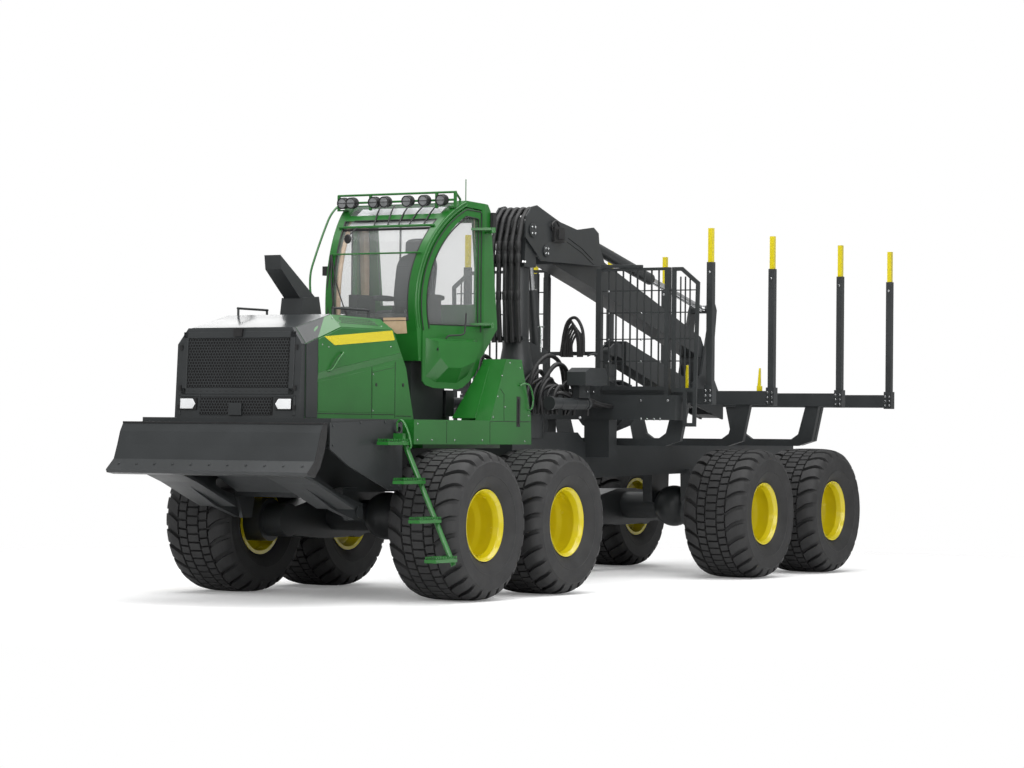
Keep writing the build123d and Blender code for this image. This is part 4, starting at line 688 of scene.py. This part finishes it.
# %% Seals, beads and trim
seals = [tube(on_side(side_loop(80, 2288), 1, 0, 4), 6, 8),
    tube(on_side(side_loop(149, 2582), 1, 0, 3), 7, 8)]
add("door_seals", seals, "black_plastic", "cab_door", soft=60)
arc = screen_arc(2612, 3598, 5, 32)
screen_seals = both([tube(on_side(arc, 1, 78, 0), 8, 8)])
screen_seals += [tube([(x, y, z) for y in (-420, 0, 420)], 8, 8)
    for x, z in ((3147, 2612), (2800, 3598))]
screen_seals.append(tube(on_side(side_loop(168, 2592), -1, 0, 2), 7, 8))
rear_box = [(2098, -562, 2798), (2098, 562, 2798), (2200, 562, 3602), (2200, -562, 3602),
    (2098, -562, 2798)]
screen_seals.append(tube(rear_box, 9, 6))
add("cab_seals", screen_seals, "black_plastic", FRONT, soft=60)
beads = both([tube(on_side(screen_arc(2540, 3770, 14, 32), 1, 0, 1), 9, 8),
    tube(on_side(screen_arc(2540, 3745, 44, 32), 1, 0, 1), 6, 8)])
add("pillar_beads", beads, "green_paint", FRONT, soft=60)
trims = both([tube(on_side(screen_arc(2560, 3610, 72, 28), 1, 112, 0), 24)])
trims += both([prism([(2190, 2600), (2200, 3690), (2320, 3690), (2250, 2600)], 1, 640, 690)])
trims.append(plate([(3159, 150, 2640), (3159, 405, 2640), (3134, 405, 2490), (3131, 290, 2486),
    (3144, 150, 2560)], (-5, 0, 0)))
add("cab_trims", trims, "trim_tan", FRONT, bevel=2, soft=50)

# %% Roof lining, blind and ribs
lining = [prism([(2230, 3650), (2540, 3668), (2700, 3590), (2690, 3560), (2540, 3630),
           (2230, 3620)], 1, -540, 540),
    prism([(2960, 2560), (2960, 2690), (3105, 2650), (3118, 2560)], 1, -410, 410),
    boxes((2112, -334, 2800), (2128, -316, 3600)),
    boxes((2790, 120, 2650), (2960, 150, 2760)),
    boxes((2920, -470, 2690), (2990, -380, 2760))]
lining += [tube([(2640, y, 2700), (2690, y, 2780), (2720, y, 2860)], np.array([9, 8, 17]), 12)
    for y in (-380, 380)]
add("cab_lining", lining, "black_plastic", FRONT, bevel=4)
outer, inner = screen_arc(3535, 3730, 34), screen_arc(3535, 3724, 42)
blind = prism(np.concatenate([outer, inner[::-1]]), 1, -480, 480)
add("roof_blind", [blind], "blind_white", FRONT)
rib_rows = ((-247, -148), (-92, 7), (80, 133), (259, 253), (408, 420))
rib_x, rib_z = screen_arc(3545, 3762, -8, 16).T
ribs = [tube(xyz(rib_x, np.linspace(foot, top, 16), rib_z), 8, 8) for top, foot in rib_rows]
ribs.append(boxes((2852, -520, 3496), (2878, 520, 3518)))
add("roof_ribs", ribs, "black_plastic", FRONT, soft=50)

# %% Rails, wipers and mirror
guard = curve([
    (2500, -690, 3740), (2560, -755, 3778), (2700, -765, 3680), (2814, -765, 3522),
    (2966, -762, 3269), (3066, -755, 3069), (3122, -705, 2850), (3132, -610, 2640),
    (3106, -512, 2590)])
rails = [tube([(2884, -545, 3534), (2884, 0, 3534), (2884, 545, 3534)], 13),
    tube([(3074, -520, 3262), (3074, 0, 3262), (3074, 520, 3262)], 8, 8),
    tube(guard, 11)]
add("cab_rails", rails, "green_paint", FRONT)
wiper_rows = (
    ([(3082, -500, 3258), (3150, -452, 3000), (3168, -410, 2740), (3162, -400, 2640)], 9),
    ([(3082, -500, 3258), (3152, -400, 3000), (3172, -290, 2740), (3164, -250, 2640)], 6),
    ([(3082, -506, 3258), (3140, -500, 3000), (3160, -478, 2640)], 8),
)
wipers = [boxes((3016, -620, 3060), (3060, -552, 3150))]
wipers += [tube(curve(knots, 6), radius, 8) for knots, radius in wiper_rows]
wipers += [turned([(44, -8), (46, 0), (40, 8), (20, 12)], (3060, -330, 3410), (1, -0.2, 0), 28),
    tube([(2884, -330, 3534), (3000, -330, 3470), (3052, -330, 3420)], 6, 8),
    boxes((2130, 756, 3510), (2190, 786, 3690)),
    boxes((2140, 740, 3560), (2180, 760, 3600))]
add("cab_wipers", wipers, "black_plastic", FRONT, soft=50)
arm = curve([(2547, 706, 2698), (2581, 716, 2560), (2640, 728, 2492), (2826, 690, 2475),
    (2862, 676, 2445)])
catch = boxes((2900, 640, 2330), (2990, 668, 2356))
add("door_arm", [tube(arm, 8, 8), catch], "black_plastic", "cab_door", soft=50)

# %% [markdown]
# ## Seat
# The driver's seat is a padded cushion, a back and a headrest in woven cloth with piped seams.
# Each pad is a crowned closed form: a rounded box whose corners pull in and whose middle
# swells. It is worked out as a formula, which is quick and the same in every run.

# %% Seat
pad_columns, pad_rows, pole_gap, crown_rise = 56, 24, 0.03, 0.10


def pad(centre, half, lean=0.0, power=0.5):
    """Rounded box: point = centre + half * (cos v cos u, cos v sin u, sin v), each factor to
    power with its sign kept. The crown lifts the middle, and lean moves x by height. The ends
    close with a small flat ring."""
    u = round_angles(pad_columns)[None, :]
    v = np.linspace(-np.pi / 2 + pole_gap, np.pi / 2 - pole_gap, pad_rows)[:, None]
    cu, su, cv, sv = (np.sign(w) * np.abs(w) ** power
        for w in (np.cos(u), np.sin(u), np.cos(v), np.sin(v)))
    unit = xyz(cv * cu, cv * su, sv)
    crown = 1 + crown_rise * (1 - unit[..., 0] ** 2) * (1 - unit[..., 1] ** 2)
    unit[..., 2] = unit[..., 2] * crown
    points = np.asarray(centre, float) + unit * np.asarray(half, float)
    points[..., 0] += lean * (points[..., 2] - centre[2])
    faces = [grid(pad_rows, pad_columns, False, True), end_faces(pad_rows, pad_columns)]
    return points.reshape(-1, 3), faces


def piping(piece, row):
    """A thin tube along one row of a pad."""
    line = piece[0][row * pad_columns:(row + 1) * pad_columns]
    return tube(np.concatenate([line, line[:2]]), 4.5, 6)


pads = [pad((2570, 0, 2672), (228, 238, 62)),
    pad((2352, 0, 3010), (46, 226, 270), -0.16, 0.42),
    pad((2318, 0, 3368), (30, 132, 74), -0.1)]
pads += [pad((2470, s * 290, 2860), (170, 34, 26)) for s in (-1, 1)]
pads += [piping(p, r) for p in pads[:3] for r in (9, 14)]
seat_pads = add("seat_pads", pads, "seat_fabric", FRONT, soft=70)
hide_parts("seat")
seat_base = turned([(150, 2294), (150, 2330), (70, 2350), (70, 2560), (190, 2600),
    (190, 2618)], (2550, 0, 0), Z, 32)
add("seat_base", [seat_base], "black_plastic", FRONT)

# %% [markdown]
# ## Ladder
# The treads have saw-toothed edges so that boots grip. The teeth are rows of small blocks, and
# a bent rail at the top gives a hold.

# %% Ladder
teeth = []
tooth_x = np.arange(4345, 4690, 28)
ladder_top, ladder_run, ladder_drop = (1120, 1520), 570, 1160  # (y, z), outwards, down
for step in range(4):
    share = 0.06 + 0.30 * step
    y, z = ladder_top[0] + ladder_run * share, ladder_top[1] - ladder_drop * share
    teeth += [xyz(tooth_x, y + edge * 54, z + 20) for edge in (-1, 1)]
teeth = np.concatenate(teeth)
top_rail = curve([(4335, 1070, 1560), (4335, 1080, 1640), (4335, 1130, 1652), (4335, 1190, 1560),
    (4335, 1225, 1420), (4335, 1180, 1400)])
add("ladder_grips", [boxes(teeth - (6, 5, 0), teeth + (6, 5, 20)), tube(top_rail, 11)],
    "green_paint", FRONT)

# %% [markdown]
# ## Green body
# The low beams and the wedge-shaped boxes are bolted sheets. Seams, bolts, a louvre and a
# looped handle sit on their flat sides. A drum and a sloped block below the cab fill what the
# photo shows as dark there.

# %% Green body
body_seams = [seam(a, b, body_y + 0.4, 2.6, 2) for a, b in (
    ((2656, 1662), (1885, 1662)), ((2656, 1662), (2656, 1445)), ((3440, 1450), (3440, 1660)),
    ((2470, 1975), (2400, 1925)), ((2400, 1925), (2395, 1668)))]
louvre = [prism([(2160, 1610), (2090, 1610), (2086, 1900), (2160, 1905)], 1,
          body_y - 1, body_y + 1),
    prism([(2128, 1630), (2120, 1630), (2118, 1880), (2126, 1880)], 1,
          body_y + 1, body_y + 6)]
add("body_seams", both(body_seams + louvre), "black_plastic", FRONT)
drum = [turned([(300, 1640), (300, 1760), (250, 1790), (250, 2120), (290, 2140), (290, 2226)],
           (2330, 40, 0), Z, 40),
    prism([(2120, 2120), (2420, 2120), (2420, 2226), (2368, 2226), (2212, 2380),
           (2120, 2380)], 1, -420, 420),
    boxes((2290, 250, 1705), (2440, 420, 1960))]
add("cab_mount", drum, "dark_paint", FRONT, bevel=3)
inner_sheet = [plate([(2386, 881, 2212), (2386, 790, 2212), (2651, 620, 1690),
           (2651, 881, 1690)], (-10, 0, -5)),
    prism([(2386, 2212), (2360, 2262), (2069, 2262), (2069, 2250), (2352, 2250),
           (2374, 2208)], 1, 790, 881)]
add("body_sheets", both(inner_sheet), "green_paint", FRONT, bevel=2)
grab = curve([(2110, 1056, 2010), (2060, 1090, 2030), (1975, 1095, 2000), (1915, 1092, 1890),
    (1925, 1088, 1800), (1935, 1056, 1770)])
add("body_handles", both([tube(grab, 9)]), "green_paint", FRONT)
body_places = [(x, body_y, z) for x, z in (
    (2516, 1900), (2440, 2100), (2380, 1800), (2098, 2180), (2290, 2225), (1930, 1720),
    (2600, 1700), (2800, 1480), (3300, 1480), (3700, 1480), (3950, 1480), (3950, 1630),
    (2000, 1470))]
add("body_bolts", both(bolts(body_places, Y, 6, 5)), "rod_chrome", FRONT)

# %% [markdown]
# ## Rear frame and hoses
# Bolts hold the crane base, the cross box and the side tubes to the rear frame. Hydraulic lines
# run along the backbone, and thick hoses curl round the pillar's foot. The lines over the
# articulation are fixed at both frames, and here they sit on neither body.

# %% Rear frame and hoses
plate_places = [(-650, y, 1707) for y in (912, 983, 1066, 1137)]
plate_places += [(-645, y, 1900) for y in (912, 1230)]
base_places = [(462, 96, z) for z in (2480, 2440)] + [(28, 560, 1715)]
frame_bolts = bolts(plate_places, X, 11, 8)
frame_bolts += bolts([(x, 692, z) for x in (-20, 110) for z in (1985, 2130)], Y, 10, 8)
frame_bolts += bolts(base_places, (0.7, 0.7, 0), 10, 8)
add("frame_bolts", both(frame_bolts), "rod_chrome", REAR)
rings = [turned([(60, -8), (62, -4), (62, 4), (60, 8)], (x, 640, 1855), X, closed=True)
    for x in (120, 330, 620)]
rings += [turned([(63, -10), (63, 10)], (x, 640, 1855), X) for x in (60, 790)]
handle_loop = curve([(124, 694, 2345), (110, 726, 2362), (50, 732, 2372), (-20, 726, 2368),
    (-30, 694, 2350)])
add("frame_trims", both(rings + [tube(handle_loop, 8, 8)]), "dark_paint", REAR, soft=50)
lift_handle = [tube([(485, 350, 2380), (485, 350, 2520), (485, 350, 2640)], 10),
    tube([(485, 315, 2640), (485, 350, 2640), (485, 385, 2640)], 9)]
add("lift_handle", lift_handle, "rod_chrome", REAR)

hose_rows = (
    ([(560, 300, 1760), (520, 380, 2040), (360, 450, 2250), (150, 460, 2200), (60, 420, 1960),
      (40, 380, 1740)], 24),
    ([(600, 250, 1780), (600, 320, 2160), (430, 380, 2340), (200, 400, 2290), (20, 360, 2080),
      (-40, 330, 1760)], 22),
    ([(520, 470, 1740), (430, 520, 1960), (250, 540, 2080), (90, 520, 1960), (60, 500, 1740)],
     18),
    ([(300, 560, 1740), (220, 590, 1900), (60, 590, 1980), (-120, 560, 1900),
      (-200, 520, 1740)], 16),
    ([(-700, -91, 2370), (-690, -20, 2700), (-690, 90, 2777), (-690, 180, 2640),
      (-700, 190, 2380)], 17),
    ([(-700, -50, 2370), (-680, 10, 2620), (-680, 80, 2680), (-680, 140, 2580),
      (-700, 150, 2380)], 15),
)
hoses = [tube(curve(path), radius, 12) for path, radius in hose_rows]
for k in range(9):
    y, wave = 225 + 42 * k, 30 * math.sin(2.1 * k)
    path = curve([(700 - 22 * k, y, 1745), (640 - 14 * k, y + wave, 2030 - 12 * k),
        (430, y + 40, 2190 - 26 * k + wave), (150, y - wave, 2110 - 30 * k),
        (-200, y + wave, 1985 - 12 * k), (-450, y, 1850), (-660, y, 1835)])
    hoses.append(tube(path, 15 + 3 * (k % 3), 12))
for k in range(6):
    path = curve([(-704, -80 + 26 * k, 2360), (-700 + 5 * k, -60 + 24 * k, 2600 - 20 * k),
        (-696, 20 + 20 * k, 2760 - 28 * k), (-692, 110 + 12 * k, 2560),
        (-700, 120 + 10 * k, 2360)])
    hoses.append(tube(path, 12))
hoses += [flipped(tube(curve(path), radius, 12)) for path, radius in hose_rows[:3]]
add("frame_hoses", hoses, "hose_rubber", REAR, soft=70)
pipe = tube([(-900, 0, 1352), (-3000, 0, 1352), (-5500, 0, 1352)], 9, 8)
pipes = repeated(pipe, xyz(0, np.array([-150, -110, 110, 150]), 0))
add("frame_pipes", [pipes], "dark_paint", REAR)

joint_hoses = []
for y, z, sag in ((-210, 1610, 60), (-165, 1650, 40), (165, 1650, 45), (210, 1610, 65),
                  (255, 1580, 50)):
    path = curve([(1880, y, z), (1600, y * 1.15, z - sag), (1250, y * 1.3, z - 1.6 * sag),
        (900, y * 1.15, z - sag), (640, y, z)])
    joint_hoses.append(tube(path, 15, 12))
knuckle_hoses = add("knuckle_hoses", joint_hoses, "hose_rubber", None, soft=70)
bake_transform(knuckle_hoses)
print("hoses:", len(hoses) + len(joint_hoses))

# %% [markdown]
# ## Headgate and bunk
# The gate keeps the load off the crane: posts and bars with bolted feet. The bunk's stakes stand
# in bolted sockets, and two beams carry a small yellow upright at each end.

# %% Headgate and bunk
gate_places = [(-762, y, z) for y in (455, 845) for z in (2311, 2543, 2821, 3053)]
gate_bar = prism([(352, 3340), (358, 3288), (412, 3304), (845, 3299), (845, 3330)], 0, -800, -769)
add("gate_bar", [gate_bar], "dark_paint", REAR, bevel=3)
add("gate_bolts", both(bolts(gate_places, X, 9, 7)), "rod_chrome", REAR)
bolster_x = (-1091, -2573, -4349, -5745)
socket_places = [(x + 55, y, z)
    for x in bolster_x for y in (1468, 1522) for z in (1905, 1958, 2012)]
stake_places = [(x + 34, 1495, 3258) for x in bolster_x]
bunk_bolts = bolts(socket_places, X, 11, 8) + bolts(stake_places, X, 11, 8)
add("bunk_bolts", both(bunk_bolts), "rod_chrome", REAR)
horn_places = ((-2573, 1348), (-1091, 1222))
horns = [boxes((x - 12, y - 30, 1940), (x + 12, y + 30, 2085)) for x, y in horn_places]
horns += [plate([(x - 10, y - 24, 2080), (x - 10, y + 16, 2080), (x - 10, y + 12, 2280),
    (x - 10, y - 6, 2280)], (20, 0, 0)) for x, y in horn_places]
add("bunk_horns", both(horns), "yellow_paint", REAR, bevel=3)

# %% [markdown]
# ## Crane
# The booms are welded boxes with big pins. Each pin ends in a round cap with four screws. A
# box of valves stands on the near plate of the head, and thin lines run back from it along
# the boom. Short sleeves and a clamp hold the hoses on the pillar.

# %% Crane
# Pins on the boom's side: x, z, y, radius
pin_rows = ((420, 3640, 205, 74), (144, 3440, 205, 62), (-936, 3630, 160, 44),
    (-3650, 2165, 205, 60))


def pin_cap(x, z, y, radius):
    """A stepped cap on a boom's side, and its four screws."""
    cap = turned([(radius, 0), (radius, 8), (radius * 0.82, 12), (radius * 0.4, 12),
        (radius * 0.36, 8)], (x, y, z), Y, 36)
    t = np.arange(4) * np.pi / 2 + np.pi / 4
    places = xyz(x + 0.6 * radius * np.cos(t), y + 12, z + 0.6 * radius * np.sin(t))
    return cap, bolts(places, Y, 9, 8)


caps = [pin_cap(*row) for row in pin_rows]
screws = both([piece for _, pieces in caps for piece in pieces])
add("boom_pins", both([cap for cap, _ in caps]), "dark_paint", "main_boom", bevel=1.5, soft=50)
add("boom_screws", screws, "rod_chrome", "main_boom")
head_box = [boxes((-190, 199, 3545), (20, 236, 3700)), boxes((-150, 234, 3575), (-30, 262, 3675)),
    tube([(-330, 201, 3600), (-620, 201, 3510), (-860, 201, 3400)], 5, 8),
    tube([(-300, 201, 3560), (-600, 201, 3470), (-880, 201, 3350)], 4, 8),
    tube(curve([(30, 214, 3660), (60, 226, 3720), (-20, 230, 3760), (-90, 226, 3712)]),
         11)]
add("head_box", head_box, "black_plastic", "main_boom", bevel=3, soft=50)
sleeve = turned([(27, -46), (30, -40), (30, 40), (27, 46)], ORIGIN, Z, 20)
sleeve_places = [(x, y, z) for y in range(-150, 151, 75)
    for x, z in ((629, 2960), (627, 3340), (626, 3470))]
clamp = boxes((512, -176, 3290), (596, 176, 3330))
add("hose_sleeves", [repeated(sleeve, sleeve_places), clamp], "black_plastic",
    "crane_pillar", bevel=1)
clamp_places = [(x, 176, 3310) for x in (530, 575)] + [(596, y, 3310) for y in (-110, -40, 40, 110)]
add("clamp_bolts", bolts(clamp_places, (0.7, 0.7, 0), 8, 8), "rod_chrome", "crane_pillar")

# %% [markdown]
# ## Stage, light and camera
# A pale floor keeps the soft shadow and fades out before the horizon. Four broad panels give
# the light: one above, a weak one behind on the right, one on the left and one in front. The
# camera looks from the front left, a little above the hubs, through a long lens.

# %% Stage, light and camera
scene = bpy.context.scene
floor_half, floor_glow = 60, 0.16
fade_from, fade_to = 6.5, 11.0  # metres from the middle over which the floor fades out
world_level, world_in_gloss = 0.34, 0.15
floor_mesh = bpy.data.meshes.new("floor")
corners = [(x * floor_half, y * floor_half, 0) for x, y in ((-1, -1), (1, -1), (1, 1), (-1, 1))]
floor_mesh.from_pydata(corners, [], [(0, 1, 2, 3)])
floor = bpy.data.objects.new("floor", floor_mesh)
scene.collection.objects.link(floor)
floor_finish = bpy.data.materials.new("floor")
floor_finish.use_nodes = True
nodes = floor_finish.node_tree.nodes
shader = nodes["Principled BSDF"]
set_inputs(shader, Base_Color=(0.90, 0.90, 0.90, 1), Roughness=0.9, Specular_IOR_Level=0.0,
    Emission_Color=(1, 1, 1, 1))
glow = nodes.new("ShaderNodeMath")
glow.operation = "MULTIPLY"
glow.inputs[1].default_value = floor_glow
join(nodes.new("ShaderNodeLightPath"), "Is Camera Ray", glow, 0)
join(glow, "Value", shader, "Emission Strength")
distance = nodes.new("ShaderNodeVectorMath")
distance.operation = "LENGTH"
join(nodes.new("ShaderNodeTexCoord"), "Object", distance, 0)
fade = nodes.new("ShaderNodeMapRange")
fade.interpolation_type = "SMOOTHSTEP"
set_inputs(fade, From_Min=fade_from, From_Max=fade_to, To_Min=1.0, To_Max=0.0)
join(distance, "Value", fade, "Value")
join(fade, "Result", shader, "Alpha")
floor_mesh.materials.append(floor_finish)

# The world is dim as a light, full for camera and transmission rays, and partly seen in gloss
scene.world = bpy.data.worlds.new("studio")
scene.world.use_nodes = True
nodes = scene.world.node_tree.nodes
set_inputs(nodes["Background"], Color=(1, 1, 1, 1))
rays = nodes.new("ShaderNodeLightPath")
glossy = nodes.new("ShaderNodeMath")
glossy.operation = "MULTIPLY_ADD"
glossy.inputs[1].default_value = world_in_gloss
join(rays, "Is Glossy Ray", glossy, 0)
join(rays, "Is Camera Ray", glossy, 2)
total = nodes.new("ShaderNodeMath")
total.operation = "MAXIMUM"
join(glossy, "Value", total, 0)
join(rays, "Is Transmission Ray", total, 1)
level = nodes.new("ShaderNodeMapRange")
set_inputs(level, To_Min=world_level, To_Max=1.0)
join(total, "Value", level, "Value")
join(level, "Result", nodes["Background"], "Strength")

# name, place, target, width, height, power
light_rows = (
    ("overhead", (1.0, 2.0, 11.0), (0, 0, 1.5), 16.0, 12.0, 1750.0),
    ("rear_panel", (-9.0, -11.0, 9.0), (2, 0, 2.0), 15.0, 6.0, 480.0),
    ("left_panel", (6.0, 13.0, 6.0), (0, 0, 1.6), 9.0, 7.0, 600.0),
    ("front_panel", (16.0, 3.0, 6.0), (2, 0, 1.6), 7.0, 6.0, 880.0),
)
for name, place, target, width, height, power in light_rows:
    lamp = bpy.data.lights.new(name, "AREA")
    lamp.shape = "RECTANGLE"
    lamp.size, lamp.size_y, lamp.energy = width, height, power
    holder = bpy.data.objects.new(name, lamp)
    holder.location = place
    holder.rotation_euler = (Vector(target) - Vector(place)).to_track_quat("-Z", "Y").to_euler()
    holder.visible_camera = False
    scene.collection.objects.link(holder)

# The lens and the place were solved from the photo: focal length in pixels, then the axes
focal_px, picture_px, sensor = 3120.3224641306324, 1024, 36.0
camera_data = bpy.data.cameras.new("camera")
camera_data.sensor_width = sensor
camera_data.lens = focal_px / picture_px * sensor
camera_data.clip_end = 200.0
camera = bpy.data.objects.new("camera", camera_data)
right = Vector((-0.5078464270513113, 0.8613999796716623, 0.00905988702341208))
upward = Vector((0.017272981893420927, -0.00033261290182880557, 0.9998507555956374))
view = Vector((-0.8612744339800913, -0.5079271250783103, 0.01471002997807685))
turn = Matrix((right, upward, -view)).transposed().to_4x4()
stand = (28.18540126913316, 16.345319437760487, 1.5804225946557153)
camera.matrix_world = Matrix.Translation(stand) @ turn
scene.collection.objects.link(camera)
scene.camera = camera
scene.view_settings.view_transform = "Standard"
print("lens:", round(camera_data.lens, 1), "mm, panels:", len(light_rows))
